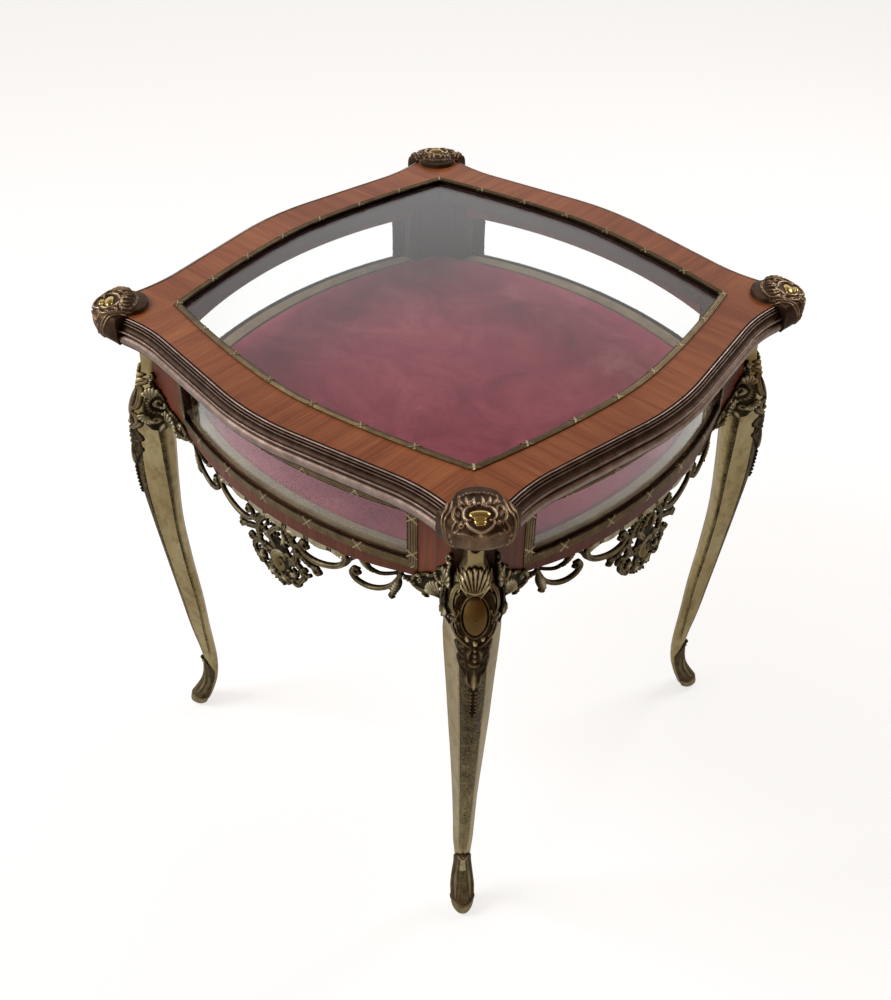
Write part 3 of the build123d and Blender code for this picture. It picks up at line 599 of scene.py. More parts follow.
def pane_glass(add):
    """Plain sheet glass, faintly grey. Lamps shine through it on to what lies behind."""
    pane = add("BsdfPrincipled", Base_Color=linear("#F6F8F8"), Roughness=0.0, IOR=1.45,
        Transmission_Weight=1.0)
    clear = add("BsdfTransparent", Color=linear("#F2F4F4"))
    shadow = add("LightPath").outputs["Is Shadow Ray"]
    return add("MixShader", _0=shadow, _1=pane, _2=clear)


def cotton_velvet(add):
    """Cut velvet, rubbed and faded in patches, and painted lighter or darker in patches as the
    sheen of pile that lies one way in one patch and another way in the next. Its tips catch light
    at a low angle."""
    place = add("TexCoord").outputs["Object"]
    patch = add("TexNoise", Vector=place, Scale=per_metre(95), Detail=5.0, Roughness=0.6,
        Distortion=0.8)
    pile = add("TexNoise", Vector=place, Scale=per_metre(2.2), Detail=2.0, Roughness=0.7)
    dust = add("TexNoise", Vector=place, Scale=per_metre(7), Detail=4.0, Roughness=0.75)
    mixed = add("Math", operation="MULTIPLY_ADD", _0=dust, _1=0.35, _2=patch)
    # Lighter and darker patches: part faded cloth, part painted sheen of the pile.
    colour = ramp(add, mixed, ((0.45, "#762638"), (0.62, "#892D43"), (0.78, "#983E4E"),
        (0.92, "#A85A62")))
    return bumped(add, pile, 0.07, 0.6, Base_Color=colour, Roughness=0.95, Specular_IOR_Level=0.1,
        Sheen_Weight=0.35, Sheen_Roughness=0.45, Sheen_Tint=linear("#C98A9A"))


def woven(add, light, dark, thread):
    """Plain-woven cloth glued to a strip: square threads over and under each other."""
    place = add("TexCoord").outputs["Object"]
    apart = add("SeparateXYZ", Vector=place)
    threads = [add("Math", operation="MULTIPLY", _0=apart.outputs[k], _1=np.pi * per_metre(thread))
               for k in (0, 1)]
    waves = [add("Math", operation="SINE", _0=run) for run in threads]
    weave = add("Math", operation="MULTIPLY_ADD", _0=waves[0], _1=waves[1], _2=0.5)
    cloud = add("TexNoise", Vector=place, Scale=per_metre(30), Detail=4.0, Roughness=0.7)
    tone = add("Math", operation="MULTIPLY_ADD", _0=weave, _1=0.12, _2=cloud)
    colour = ramp(add, tone, ((0.35, dark), (0.75, light)))
    return bumped(add, weave, 0.3, 0.3, Base_Color=colour, Roughness=0.9, Specular_IOR_Level=0.2)


def plain_wood(add, light, dark):
    """Plain-sawn wood, unpolished: soft grain lines a few millimetres apart."""
    place = add("TexCoord").outputs["Object"]
    stretched = add("Mapping", Vector=place, Scale=(0.06, 1.0, 1.0))
    lines = add("TexNoise", Vector=stretched, Scale=per_metre(5), Detail=4.0, Roughness=0.6)
    colour = ramp(add, lines, ((0.3, dark), (0.7, light)))
    return bumped(add, lines, 0.15, 0.3, Base_Color=colour, Roughness=0.65)


def filed_steel(add):
    """Drawn and filed steel of the lock and bolts: fine marks, half dull."""
    place = add("TexCoord").outputs["Object"]
    marks = add("TexNoise", Vector=place, Scale=per_metre(1.5), Detail=3.0)
    colour = ramp(add, marks, ((0.3, "#6E6A64"), (0.7, "#8E8A84")))
    return bumped(add, marks, 0.1, 0.2, Base_Color=colour, Metallic=1.0, Roughness=0.4)


# Patina from the hollows to the rubbed tops
LEG = new_material("cast_brass_leg", leg_brass)
MOUNT = new_material("cast_brass_dark_patina", cast_brass,
    ((0.08, "#1E1810"), (0.3, "#4A3F2D"), (0.58, "#908464"), (0.9, "#E0D7B8")))
CLASP = new_material("cast_brass_brown_patina", cast_brass,
    ((0.1, "#261A12"), (0.36, "#5E4938"), (0.6, "#9A8066"), (0.9, "#E8D2B0")))
KNEE = new_material("cast_brass_tan_patina", cast_brass,
    ((0.08, "#241A10"), (0.32, "#54442E"), (0.6, "#92805C"), (0.92, "#D8C8A0")))
SABOT = new_material("cast_brass_grey_patina", cast_brass,
    ((0.1, "#2A2014"), (0.4, "#6C5E44"), (0.7, "#A29370"), (0.98, "#D4C69E")), mottle=9.0)
GILT = new_material("gilt_brass_boss", cast_brass, ((0.1, "#6E5632"), (0.6, "#AA9250"),
    (0.95, "#CEB26E")), polish=0.14, dull=0.22, pitting=0.03)
MOULDING = new_material("rolled_bronze_moulding", cast_brass,
    ((0.05, "#1E1612"), (0.4, "#574338"), (0.7, "#7E6A60"), (0.98, "#B09E94")), polish=0.4,
    dull=0.55, pitting=0.06)
BEADING = new_material("drawn_brass_beading", cast_brass,
    ((0.05, "#221A10"), (0.4, "#5E4E38"), (0.7, "#877658"), (0.98, "#D4C29A")), polish=0.32,
    dull=0.48, pitting=0.08)
HARDWARE = new_material("plain_brass_hinge", cast_brass, ((0.1, "#8A7A52"), (0.9, "#C6B486")),
    pitting=0.05)
LID_VENEER = new_material("kingwood_veneer_lid", veneer,
    ((0.28, "#7C4224"), (0.43, "#92502A"), (0.55, "#A66036"), (0.72, "#B87646")), 0.4,
    lid_underside)
# The post and rail veneers are darker copies of the lid's kingwood: painted shade on the case's
# upright faces.
POST_VENEER_PAINTED_SHADE = new_material("kingwood_veneer_post_painted_shade", veneer,
    ((0.28, "#4E2010"), (0.45, "#713822"), (0.6, "#86492D"), (0.75, "#945A3D")), 0.45, post_inside)
RAIL_VENEER_PAINTED_SHADE = new_material("kingwood_veneer_rail_painted_shade", veneer,
    ((0.28, "#4A2014"), (0.45, "#693622"), (0.6, "#7C4630"), (0.75, "#8A5540")), 0.45)
GLASS = new_material("sheet_glass", pane_glass)
VELVET = new_material("cotton_velvet", cotton_velvet)
BORDER = new_material("faded_cotton_border", woven, "#8E7C62", "#70604C", 1.0)
BOARD = new_material("birch_plywood", plain_wood, "#B79A72", "#947850")
STEEL = new_material("filed_steel", filed_steel)


# ---- legs
def face_fall(z, outer, inner):
    """How far the outer face falls back from its middle to its edges: a tenth of the leg's depth
    at the foot, three tenths on the shin, and nothing at the shoulder."""
    return (outer - inner) * np.interp(z, (70, 130, 562, 612), (0.1, 0.3, 0.3, 0.0))


def section(z):
    """Control places of leg sections at heights z: distance out and half width, from the middle
    of the outer face round to the middle of the inner face, with one more at each end."""
    outer, inner, wide_at, face, wide, inside = level(LEG_SECTIONS, z)
    fall = face_fall(z, outer, inner)
    none, edge, wide_at = np.zeros_like(outer), outer - fall, wide_at - 0.5 * fall
    return (np.stack([edge, outer, edge, wide_at, inner, inner, inner]),
        np.stack([-face, none, face, wide, inside, none, -inside]))


def leg_place(q, z, out):
    """Point on a leg. q runs round its section: 0 at the middle of the outer face, 1 at its edge,
    2 where the leg is widest, 3 at the edge and 4 at the middle of the inner face, and below 0
    on the other side. The outer face is a parabola. `out` is square to the section's outline."""
    q, z, out = np.broadcast_arrays(q, z, out)
    r, s = section(z.ravel())
    turn = np.clip(np.abs(q).ravel(), 0, 3.999)
    k = turn.astype(int)
    u = turn - k
    column = np.arange(k.size)
    crisp = 0.82 * np.clip((z.ravel() - 95) / 60, 0, 1)

    def along(control):
        a, b, c, d = (control[k + step, column] for step in range(4))
        curved, slope = through(a, b, c, d, u)
        return (crisp * (b + (c - b) * u) + (1 - crisp) * curved,
                crisp * (c - b) + (1 - crisp) * slope)

    (place_r, slope_r), (place_s, slope_s) = along(r), along(s)
    fall = np.where(k == 0, crisp * (r[1] - r[2]), 0)
    place_r, slope_r = place_r + fall * (u - u**2), slope_r + fall * (1 - 2 * u)
    length = np.maximum(np.hypot(slope_r, slope_s), 1e-6)
    place_r = place_r + out.ravel() * slope_s / length
    place_s = place_s - out.ravel() * slope_r / length
    side = np.where(q.ravel() < 0, -1, 1)
    return np.stack([place_r, place_s * side, z.ravel()], -1).reshape(*q.shape, 3)


def leg_mesh():
    """Cabriole leg. The outer face has a raised rim and a groove inside it at both edges. The outer
    flank is flat as far as a sharp lip where the leg is widest. Behind the lip a cove drops at once
    and rises evenly. The lip bends inwards under the knee."""
    half = np.array([0, 0.25, 0.5, 0.62, 0.7, 0.76, 0.8, 0.84, 0.88, 0.92, 0.96, 1.0, 1.04, 1.15,
        1.35, 1.6, 1.8, 1.88, 1.93, 1.96, 1.98, 2.0, 2.02, 2.05, 2.1, 2.17, 2.25, 2.35, 2.45, 2.55,
        2.7, 2.85, 2.95, 3.0, 3.1, 3.5, 4.0])
    columns = np.concatenate([half[:-1], -half[:0:-1]])
    z = np.concatenate([np.linspace(0, 120, 48), np.linspace(124, 684, 132),
        np.linspace(685, 702, 18)])[:, None]
    bend = 0.3 * np.clip((z - 552) / 50, 0, 1) ** 2
    moved = np.abs(columns) + bend * np.interp(np.abs(columns), (1.3, 2.0, 2.1, 2.9), (0, 1, 1, 0))
    q = np.sign(columns) * moved
    face_half = level(LEG_SECTIONS, z.ravel())[3][:, None]
    inwards = face_half * (1 - moved)
    shin = np.clip((z - 105) / 25, 0, 1) * np.clip((668 - z) / 15, 0, 1)
    on_face = moved <= 1.0
    rim = np.where(on_face, np.sin(np.pi * np.clip((inwards - 0.1) / 2.4, 0, 1)), 0)
    groove = np.where(on_face, np.sin(np.pi * np.clip((inwards - 2.4) / 1.5, 0, 1)), 0)
    behind = (moved - 2.0 - bend) / 0.55
    cove = np.clip(behind / 0.05, 0, 1) * np.clip(1 - behind, 0, 1) ** 0.8
    lip = np.exp(-((behind + 0.03) / 0.06) ** 2)
    cove, lip = (form * np.clip((z - 112) / 20, 0, 1) * np.clip((612 - z) / 16, 0, 1)
                 for form in (cove, lip))
    screw = np.where(moved < 1.2, np.clip(5.8 - np.hypot(moved * face_half, z - 693), 0, 1), 0)
    out = shin * (0.9 * rim - 0.9 * groove) - 2.6 * cove + 0.5 * lip - 2.5 * screw
    panel = np.clip((inwards - 3.2) / 0.8, 0, 1) * shin * on_face
    # The cove behind the lip is painted dark as shade. The darker punched panel is the leg's own
    # colour.
    panel_tone_and_painted_shade = 1 - 0.7 * panel - 0.8 * np.clip(1.6 * cove, 0, 1)
    panel_tone_and_painted_shade = np.minimum(panel_tone_and_painted_shade, 1 - shin * groove)
    return tube(leg_place(q, z, out), np.clip(panel_tone_and_painted_shade - screw, 0, 1))


# ---- mounts on the legs
def knee_relief(step=0.7):
    """Scallop over a cabochon in two pairs of C-scrolls, three berries, curling leaves, a palmette
    and husks, down the middle of a knee. Heights are over the rail bottoms."""
    cast = Relief(*sheet_of(-29, 29, -154, 70, step))
    cast.plate(np.hypot(cast.u / 24.0, (cast.v - 9) / 36.0) * 24 - 24, 0.8, rubbed=0.16)
    wide = np.interp(cast.v, (-104, -92, -76, -28, 0), (3, 9, 15, 19.5, 20))
    cast.plate(np.maximum(np.abs(cast.u) - wide, np.maximum(cast.v, -103 - cast.v)), 0.5,
        rubbed=0.16)
    cast.stroke([(0, -152, 1.4), (0, -126, 2.4), (0, -104, 3.0)], 0.8, crease=0)
    for side in (-1, 1):
        cast.flip = side, 1
        cast.stroke([(10, 41, 1.2), (17, 42, 1.7), (22.5, 36, 2.1), (26, 27, 2.3), (26.5, 18, 2.2),
            (24.5, 11, 2.0), (20.5, 8.5, 1.5)], 4.4)
        cast.stroke([(17, 35, 0.9), (21, 30, 1.2), (22.5, 23, 1.1)], 3.0, crease=0)
        cast.curl(21.5, 12.5, 3.6, 90, -300, 1.4, 4.2)
        cast.stroke([(21, 6, 1.4), (25, 1, 2.0), (26.5, -8, 2.4), (24, -17, 2.6), (18, -25, 2.5),
            (11, -30, 2.1), (5, -32, 1.4)], 4.6)
        cast.stroke([(20.5, -6, 1.0), (20, -14, 1.4), (15.5, -20, 1.4)], 3.2, crease=0)
        cast.curl(22, 1, 3.6, 270, 300, 1.4, 4.2)
        cast.stroke([(19, 55, 1.1), (18.5, 48, 1.7), (14, 41, 1.9), (11, 35, 1.3)], 4.4)
        cast.curl(15.5, 46, 3.4, 90, -300, 1.3, 4.4)
        cast.knob(9, -21, 3.2, 4.2, 5.0)
        cast.stroke([(19.5, -32, 1.3), (20, -42, 1.9), (16.5, -50, 1.8), (11, -52, 1.1)], 3.4)
        cast.curl(12.5, -41, 5.6, 60, 330, 1.6, 3.2)
        cast.leaf([(3, -34), (7.5, -44), (6, -56)], 3.0, 3.0, veins=3)
        cast.stroke([(17.5, -54, 1.2), (17.5, -65, 1.7), (13, -76, 1.7), (9, -80, 1.0)], 3.0)
        cast.curl(11, -64, 5.2, 60, 330, 1.5, 3.0)
        cast.leaf([(2, -97), (8, -87), (8, -72)], 3.0, 3.2, veins=3)
        for k in range(7):
            cast.knob(3.2, -105 - 6.6 * k, 2.9 - 0.2 * k, 3.3 - 0.12 * k, 3.0)
    cast.fan(0, 20, 46, 90, 34, 9, 5.0, start=0.34, shorter=0.34)
    cast.stroke([(-14, 43, 1.2), (-10, 38, 1.6), (0, 35, 2.1), (10, 38, 1.6), (14, 43, 1.2)], 5.0,
        crease=0)
    cast.stroke([(-6, -59, 1.4), (0, -60, 1.8), (6, -59, 1.4)], 3.4, crease=0)
    cast.leaf([(0, -101), (0, -84), (0, -63)], 4.6, 4.0, veins=3.2)
    for level_v in (-36.5, -44, -51.5):
        cast.knob(0, level_v, 2.7, 3.5, 3.8)
    cast.knob(0, -26, 3.3, 4.2, 5.2)
    cast.knob(0, -151, 1.8, 2.8, 2.6)
    turn = np.linspace(0, 2 * np.pi, 120)
    frame_line = [16.4 * np.cos(turn), CABOCHON_MIDDLE + 25.6 * np.sin(turn), 1.15 + 0 * turn]
    cast.bar(np.stack(frame_line, -1), 3.6, crease=0)
    return cast


def knee_place(u, v, out):
    """Point `out` in front of the leg's outer face, which falls away to the flanks beyond it."""
    z = CASE_BOTTOM + v
    outer, inner, wide_at, face, wide, _ = level(LEG_SECTIONS, z)
    fall = face_fall(z, outer, inner)
    beyond = np.clip((np.abs(u) - face) / np.maximum(wide - face, 1), 0, 1)
    edge = outer - fall * np.clip(np.abs(u) / face, 0, 1) ** 2
    return np.stack([edge - beyond * (outer - 0.5 * fall - wide_at) + out, u, z], -1)


def knee_cabochon():
    """Polished oval on a knee: its height is a dome over the radius, the square root of
    1 - radius^2."""
    ring = full_turn(56)[:, None]
    reach = np.sin(np.linspace(0, np.pi / 2, 18))[::-1]
    u = CABOCHON_HALF[0] * np.cos(ring) * reach
    v = CABOCHON_MIDDLE + CABOCHON_HALF[1] * np.sin(ring) * reach
    out = 1.6 + 6.6 * (1 - reach**2) ** 0.5 + 0 * ring
    rings = knee_place(u, v, out).transpose(1, 0, 2)
    back = knee_place(u[:, :1], v[:, :1], out[:, :1] * 0).transpose(1, 0, 2)
    return tube(np.concatenate([back, rings]))


def sabot_relief(step=0.7):
    """Leaf shoe: a fluted middle leaf, two long leaves at each side, a band round the toe, and a
    collar under the pin. u runs round the foot, v is the height."""
    cast = Relief(*sheet_of(-28, 28, 0.6, 119, step))
    cast.plate(cast.v - 104 + 0.055 * cast.u**2, 0.4, rubbed=0.3)
    cast.plate(np.maximum(cast.v - 17, 0.6 - cast.v), 0.6, rubbed=0.62)
    wide = np.interp(cast.v, (22, 30, 60, 84, 94), (6.5, 6.6, 5.2, 3.2, 2.6))
    cast.plate(np.maximum(np.abs(cast.u) - wide, np.abs(cast.v - 58) - 36), 0.8, rubbed=0.36)
    cast.plate(np.maximum(np.abs(cast.u) - wide, np.abs(cast.v - 82) - 12), 0.8, rubbed=0.85)
    for side in (-1, 1):
        cast.flip = side, 1
        cast.stroke([(9.5, 27, 2.0), (10, 48, 3.0), (7, 72, 2.2), (5, 97, 1.2)], 2.2, crease=0.3)
        cast.stroke([(16.5, 24, 1.8), (18, 45, 2.6), (14, 72, 2.0), (10, 98, 1.2)], 1.8, crease=0.3)
        cast.knob(9.5, 13, 2.2, 2.0, 1.6)
    for k in range(-2, 3):
        cast.stroke([(k * 2.4, 26, 0.8), (k * 2.0, 55, 0.9), (k * 0.8, 86, 0.5)], 1.7, crease=0)
    cast.stroke([(-5.5, 99, 1.2), (-2.8, 95.6, 1.5), (0, 94.6, 1.6), (2.8, 95.6, 1.5),
        (5.5, 99, 1.2)], 2.6, crease=0)
    cast.stroke([(-26, 19, 1.2), (0, 20, 1.3), (26, 19, 1.2)], 1.8, crease=0)
    return cast


def section_lengths(v):
    """Lengths round the leg at heights v: half the outer face, the outer and the inner flank."""
    r, s = section(v.ravel())
    return [np.hypot(r[k + 1] - r[k], s[k + 1] - s[k]).reshape(v.shape) for k in (1, 2, 3)]


def sabot_place(u, v, out):
    """Point on a sabot: u is the distance round the foot's section from the middle of its face.
    The sabot is up to 2.7 mm thicker at the toe and thinner half way up."""
    steps = section_lengths(v)
    ends = np.cumsum(steps, 0)
    far = np.abs(u)
    beyond = 2 + np.minimum((far - ends[1]) / steps[2], 0.95)
    beyond = np.where(far < ends[1], 1 + (far - ends[0]) / steps[1], beyond)
    q = np.where(far < ends[0], far / steps[0], beyond)
    swell = np.interp(v, (0, 5, 12, 22, 33, 45, 72, 104), (1.3, 2.7, 2.5, 1.5, 0.2, -0.8, -0.8, 0))
    return leg_place(np.sign(u) * q, v, 0.4 + swell + out)


def sabot_wrap(cast):
    """Trims a sabot where it ends, a little over half way along the inner flanks."""
    face, outer, inner = section_lengths(cast.v)
    cast.cut(np.abs(cast.u) - (face + outer + 0.55 * inner))
    return cast


def sabot_pin_mesh():
    """Round-headed pin at the top of a sabot: half a ball, painted lighter towards its top as a
    highlight.
    """
    face = level(LEG_SECTIONS, np.array([PIN_HEIGHT]))[0][0] + 1.2
    ring = full_turn(24)
    polar = np.linspace(0, np.pi / 2, 8)[::-1, None]
    wide = PIN_RADIUS * np.sin(polar)
    rings = np.stack([face + PIN_RADIUS * np.cos(polar) + 0 * ring, wide * np.cos(ring),
        PIN_HEIGHT + wide * np.sin(ring)], -1)
    foot = rings[:1] - [4.0, 0, 0]
    # From 0.1 at the foot to 0.6 at the top of the dome: a painted highlight.
    rubbed = np.linspace(0.1, 0.6, 9)[:, None] * np.ones(24)
    return tube(np.concatenate([foot, rings]), rubbed)


# ---- aprons
def rail_dip(x):
    """How far the lower edge of a bottom rail dips: the depth in its middle, less that depth times
    the fourth power of the share of its half length."""
    return RAIL_DIP * (1 - np.clip(np.abs(x) / RAIL_DIP_HALF, 0, 1) ** 4)


def rail_edge():
    """Lower edge of a bottom rail, from its level ends down to the dip."""
    x, share = np.meshgrid(np.linspace(-190, 190, 96), np.linspace(0, 1, 4))
    z = CASE_BOTTOM - share * rail_dip(x)
    return slab(on_bow(x, z, 0.0), on_bow(x, z, -EDGE_THICK))


def apron_relief(step=1.0):
    """Pierced apron: a slotted band, two scrolls and a bud each side, and a cartouche of rocaille
    in the middle. Heights are under the rail's ends."""
    cast = Relief(*sheet_of(-200, 200, -124, 0, step))
    u, v = cast.u, cast.v
    dip = rail_dip(u)
    scallop = dip + 12.0 + 1.6 * np.cos(2 * np.pi * u / 36)
    cast.plate(np.maximum(np.abs(u) - 112, -v - scallop), 1.2, rubbed=0.72)
    cast.plate(np.maximum(np.abs(u) - 190, -v - dip - 2.6), 1.2, rubbed=0.5)
    x = np.linspace(-190, 190, 120)
    cast.bar(np.stack([x, -rail_dip(x) - 1.3, 1.3 + 0 * x], -1), 2.4, crease=0)
    for side in (-1, 1):
        cast.flip = side, 1
        for k in range(3):
            for gap in (-2.8, 0.0, 2.8):
                near = np.abs(u - side * (18 + 36 * k) - gap) < 0.8
                slot = near & (v < -3.8 - dip) & (v > -11 - dip)
                cast.height[slot] = cast.rubbed[slot] = 0.0
        cast.stroke([(111, -4, 3.4), (114, -16, 3.8), (106, -31, 4.0), (90, -40, 4.2),
            (70, -44.5, 4.2), (52, -42, 3.8), (43, -33, 3.2), (46, -23, 2.8), (54, -22, 2.4)], 4.6)
        cast.curl(54, -27, 6.5, 90, -330, 2.4, 4.6)
        cast.knob(112, -7, 6.0, 5.5, 4.4)
        cast.curl(108, -12, 6.0, 90, 300, 2.0, 4.4)
        cast.stroke([(100, -36, 2.2), (112, -27, 2.8), (121, -14, 2.6), (134, -3, 2.2)], 3.0)
        cast.stroke([(188, -8, 2.6), (177, -29, 3.2), (163, -41, 3.4), (146, -46, 3.4),
            (130, -43, 3.2), (122, -34, 2.8), (125, -25, 2.4), (132, -24, 2.0)], 4.4)
        cast.curl(131, -29, 6.0, 80, -320, 2.2, 4.4)
        cast.leaf([(134, -2), (142, -12), (153, -21)], 4.4, 3.6)
        cast.stroke([(146, -15, 2.0), (160, -18, 2.2), (174, -13, 2.2), (189, -4, 2.2)], 2.8)
        cast.leaf([(186, -16), (180, -32), (176, -50)], 5.6, 4.4, veins=5)
        cast.curl(178, -45, 5.0, 200, 280, 2.2, 4.0)
        cast.stroke([(26, -40, 3.0), (40, -35, 3.4), (50, -41, 3.0)], 4.0)
        cast.stroke([(8, -12, 3.4), (23, -22, 4.2), (33, -40, 4.4), (34, -58, 4.4), (24, -74, 3.6)],
            4.6, ripple=0.2, pitch=5)
        cast.curl(30, -24, 6.5, 0, 330, 2.4, 4.0)
        cast.stroke([(32, -46, 3.6), (48, -52, 4.2), (60, -57, 3.8), (70, -56, 3.0)], 4.4,
            ripple=0.25, pitch=6)
        cast.curl(71, -60, 7.0, 60, -330, 2.8, 4.4)
        cast.stroke([(24, -66, 3.6), (40, -71, 4.4), (46, -84, 4.4), (37, -98, 4.0)], 4.6,
            ripple=0.25, pitch=6)
        cast.curl(50, -72, 7.5, 180, 330, 2.8, 4.2)
        cast.curl(34, -99, 8.0, 20, -330, 3.0, 4.6)
        cast.curl(19, -104, 7.0, 250, 330, 2.8, 4.4)
        for k in range(4):
            angle = np.radians(205 + 38 * k)
            cast.leaf([(-30 * np.cos(angle), -66 + 34 * np.sin(angle)),
                (-36 * np.cos(angle + 0.12), -66 + 41 * np.sin(angle + 0.12)),
                (-40 * np.cos(angle + 0.3), -66 + 46 * np.sin(angle + 0.3))], 4.6, 4.2)
    cast.plate(np.hypot((u + 3) / 21, (v + 72) / 30) * 21 - 21, 1.4, rubbed=0.14)
    for angle in full_turn(8):
        cast.curl(-3 + 24 * np.cos(angle), -68 + 33 * np.sin(angle), 6.6, np.degrees(angle), 340,
            1.7, 4.8)
    cast.stroke([(4, -58, 4.6), (12, -44, 4.4), (2, -30, 4.2), (-8, -20, 3.6), (0, -5, 2.8)], 5.0,
        ripple=0.2, pitch=5)
    cast.leaf([(-10, -50), (-16, -36), (-12, -20)], 4.4, 4.4)
    cast.leaf([(10, -50), (18, -38), (13, -22)], 4.0, 4.2)
    cast.curl(-5, -80, 17, 70, 400, 4.2, 5.0)
    cast.curl(14, -74, 9, 200, 330, 3.2, 4.4)
    cast.curl(-22, -66, 8, 300, -330, 3.0, 4.4)
    cast.stroke([(14, -92, 3.4), (10, -106, 4.2), (-2, -112, 4.0), (-8, -118, 2.6)], 4.6,
        ripple=0.2, pitch=5)
    for angle in full_turn(34):
        cast.knob(30 * np.cos(angle), -66 + 42 * np.sin(angle), 2.0, 2.0, 3.6)
        cast.knob(38 * np.cos(angle + 0.09), -67 + 49 * np.sin(angle + 0.09), 2.2, 2.2, 3.2)
    for hole in ((15, -36, 3.2), (-24, -46, 3), (26, -62, 3), (-26, -84, 3), (20, -88, 2.4)):
        cast.pierce(*hole)
    cast.cut(v + dip)
    return cast


def on_apron(u, v, out):
    """Point on an apron, whose back lies behind the case's face."""
    return on_bow(u, CASE_BOTTOM + v, out - APRON_BACK)


def apron_boss():
    """Polished comma in the middle of a cartouche: a ball swept along half a turn as it shrinks."""
    t = np.linspace(0, 1, 22)
    angle = np.radians(-150 + 240 * t)
    centre = np.stack([-6 + 8.0 * np.cos(angle), -80 + 9.5 * np.sin(angle)], -1)
    size = 7.2 * np.sin(np.pi * np.clip(t, 0.03, 0.97)) ** 0.6
    tangent = np.gradient(centre, axis=0)
    tangent /= np.linalg.norm(tangent, axis=1)[:, None]
    ring = full_turn(20)
    square = (tangent[:, ::-1] * [1, -1])[:, None]
    side = centre[:, None] + (size[:, None] * np.cos(ring))[..., None] * square
    out = -3.0 + 0.8 * size[:, None] * np.sin(ring)
    return tube(on_bow(side[..., 0], CASE_BOTTOM + side[..., 1], out))


# ---- corner brackets
def bracket_relief(step=0.7):
    """Half a corner bracket: beads and an eye towards the apron, a shell, a big eye with fluted
    leaves beside the leg, and an arm that climbs the edge of the post. u runs along the side, v is
    over the rail bottom."""
    cast = Relief(*sheet_of(186, 282, -30, 74, step))
    u, v = cast.u, cast.v
    top = np.interp(u, (192, 204, 212, 222, 232, 246, 256, 263, 268, 275),
        (-8, -2, 7, 15, 19, 33, 44, 60, 50, -6))
    foot = np.interp(u, (190, 207, 218, 228, 240, 248, 256, 264, 272, 282),
        (-13, -13, -15, -13, -9, -11, -20, -16, -9, -10))
    cast.plate(np.maximum(np.maximum(v - top, foot - v), 190 - u) * 0.8, 0.8, rubbed=0.14)
    for k in range(4):
        cast.knob(193 + 5.2 * k, -11.5 + 0.6 * k, 2.7, 2.5, 3.6)
    cast.stroke([(206, -13, 2.0), (216, -14, 2.8), (227, -11, 3.0), (238, -8, 2.6)], 3.8)
    cast.curl(216.5, 2, 8.0, 200, 350, 2.2, 4.8)
    cast.knob(216.5, 2, 2.6, 2.6, 4.4)
    cast.leaf([(206, -8), (207, 0), (212, 8)], 2.8, 3.6)
    cast.leaf([(219, -12), (224, -17), (230, -19)], 2.8, 3.6)
    cast.stroke([(220, 12, 1.8), (228, 17, 2.4), (236, 20, 2.2), (241, 27, 1.8)], 4.2, ripple=0.3,
        pitch=4)
    cast.knob(232, 19, 2.8, 2.8, 4.6)
    cast.fan(251, -8, 26, 142, 36, 6, 4.8, start=0.25)
    cast.curl(252, 27, 9.6, 160, -350, 2.2, 5.2)
    cast.stroke([(243, 35, 1.6), (251, 40, 2.2), (260, 36, 2.4), (264, 26, 2.4), (261, 15, 2.2),
        (254, 10, 1.8)], 4.6, ripple=0.35, pitch=4)
    cast.fan(260, 32, 17, 68, 46, 5, 4.4, start=0.3)
    for level_v in (50, 54.5, 59):
        cast.knob(265 + 0.1 * (level_v - 50), level_v, 2.8, 2.5, 4.2)
    cast.curl(264, 65, 5.4, 300, 330, 1.9, 4.8)
    cast.knob(250.5, 9, 3.0, 3.0, 4.8)
    cast.knob(243, 3, 2.4, 2.4, 4.2)
    cast.curl(258, 0, 6.2, 30, 330, 1.9, 4.6)
    cast.fan(266, 8, 15, -70, 50, 6, 4.4, start=0.3)
    cast.leaf([(249, -6), (253, -13), (257, -22)], 3.4, 4.2, veins=3)
    cast.stroke([(267, 40, 1.2), (269, 28, 1.6), (271, 16, 1.6), (270, 4, 1.2)], 3.4, ripple=0.3,
        pitch=4.5)
    return cast


def on_stile(u, v, out):
    """Point on the flat stile, which swells out over the shoulder of the leg beyond u = 250."""
    swell = np.interp(v, (-24, 0, 26, 46, 68), (15.5, 16.0, 13.5, 5.0, 0.5))
    ease = np.clip((u - 250) / 15, 0, 1)
    slope = 0.43 * np.clip(u - 265, 0, 99) * np.clip((56 - v) / 20, 0, 1)
    return np.stack([u, STILE_FACE + swell * ease**2 * (3 - 2 * ease) + slope + out,
        CASE_BOTTOM + v], -1)


# ---- corner clasps
def cheek(out):
    """End of a moulding on the +X axis, `out` beyond the veneer."""
    centre = (np.array([0, LID_HALF - LID_BOW]) + heading(LID_SLOPE) * (LID_BOW + LID_SWEEP)
              + heading(LID_SLOPE + 90) * LID_STRAIGHT)
    x, y = centre + heading(-MOULDING_END) * (out - LID_SWEEP)
    return np.array([x + y, y - x]) / np.sqrt(2)


def arc_through(start, tip, count):
    """Arc from a place (r, s) over (tip, 0) to (r, -s)."""
    r, s = start
    rise = tip - r
    radius = (rise**2 + s**2) / (2 * rise)
    centre = tip - radius
    wide = np.arctan2(s, r - centre)
    angle = np.linspace(wide, -wide if rise > 0 else 2 * np.pi - wide, count)
    return np.stack([centre + abs(radius) * np.cos(angle), abs(radius) * np.sin(angle)], -1)


CLASP_NOSE, CLASP_LIP = 36.0, 29.0
CLASP_MIDDLE = np.array([428.0, 0.0])
# Rounding of a clasp, down from its top edge: share of the height, then how far the nose and the
# cheeks stand back from the widest plan
CLASP_ROUNDING = (
    (1.0, 15.0, 6.0), (0.985, 11.0, 4.0), (0.94, 6.5, 2.0), (0.85, 2.5, 0.6), (0.7, 0.4, 0.0),
    (0.5, 0.0, 0.0), (0.33, 2.0, 0.0), (0.17, 8.0, 1.6), (0.0, 19.0, 6.0))


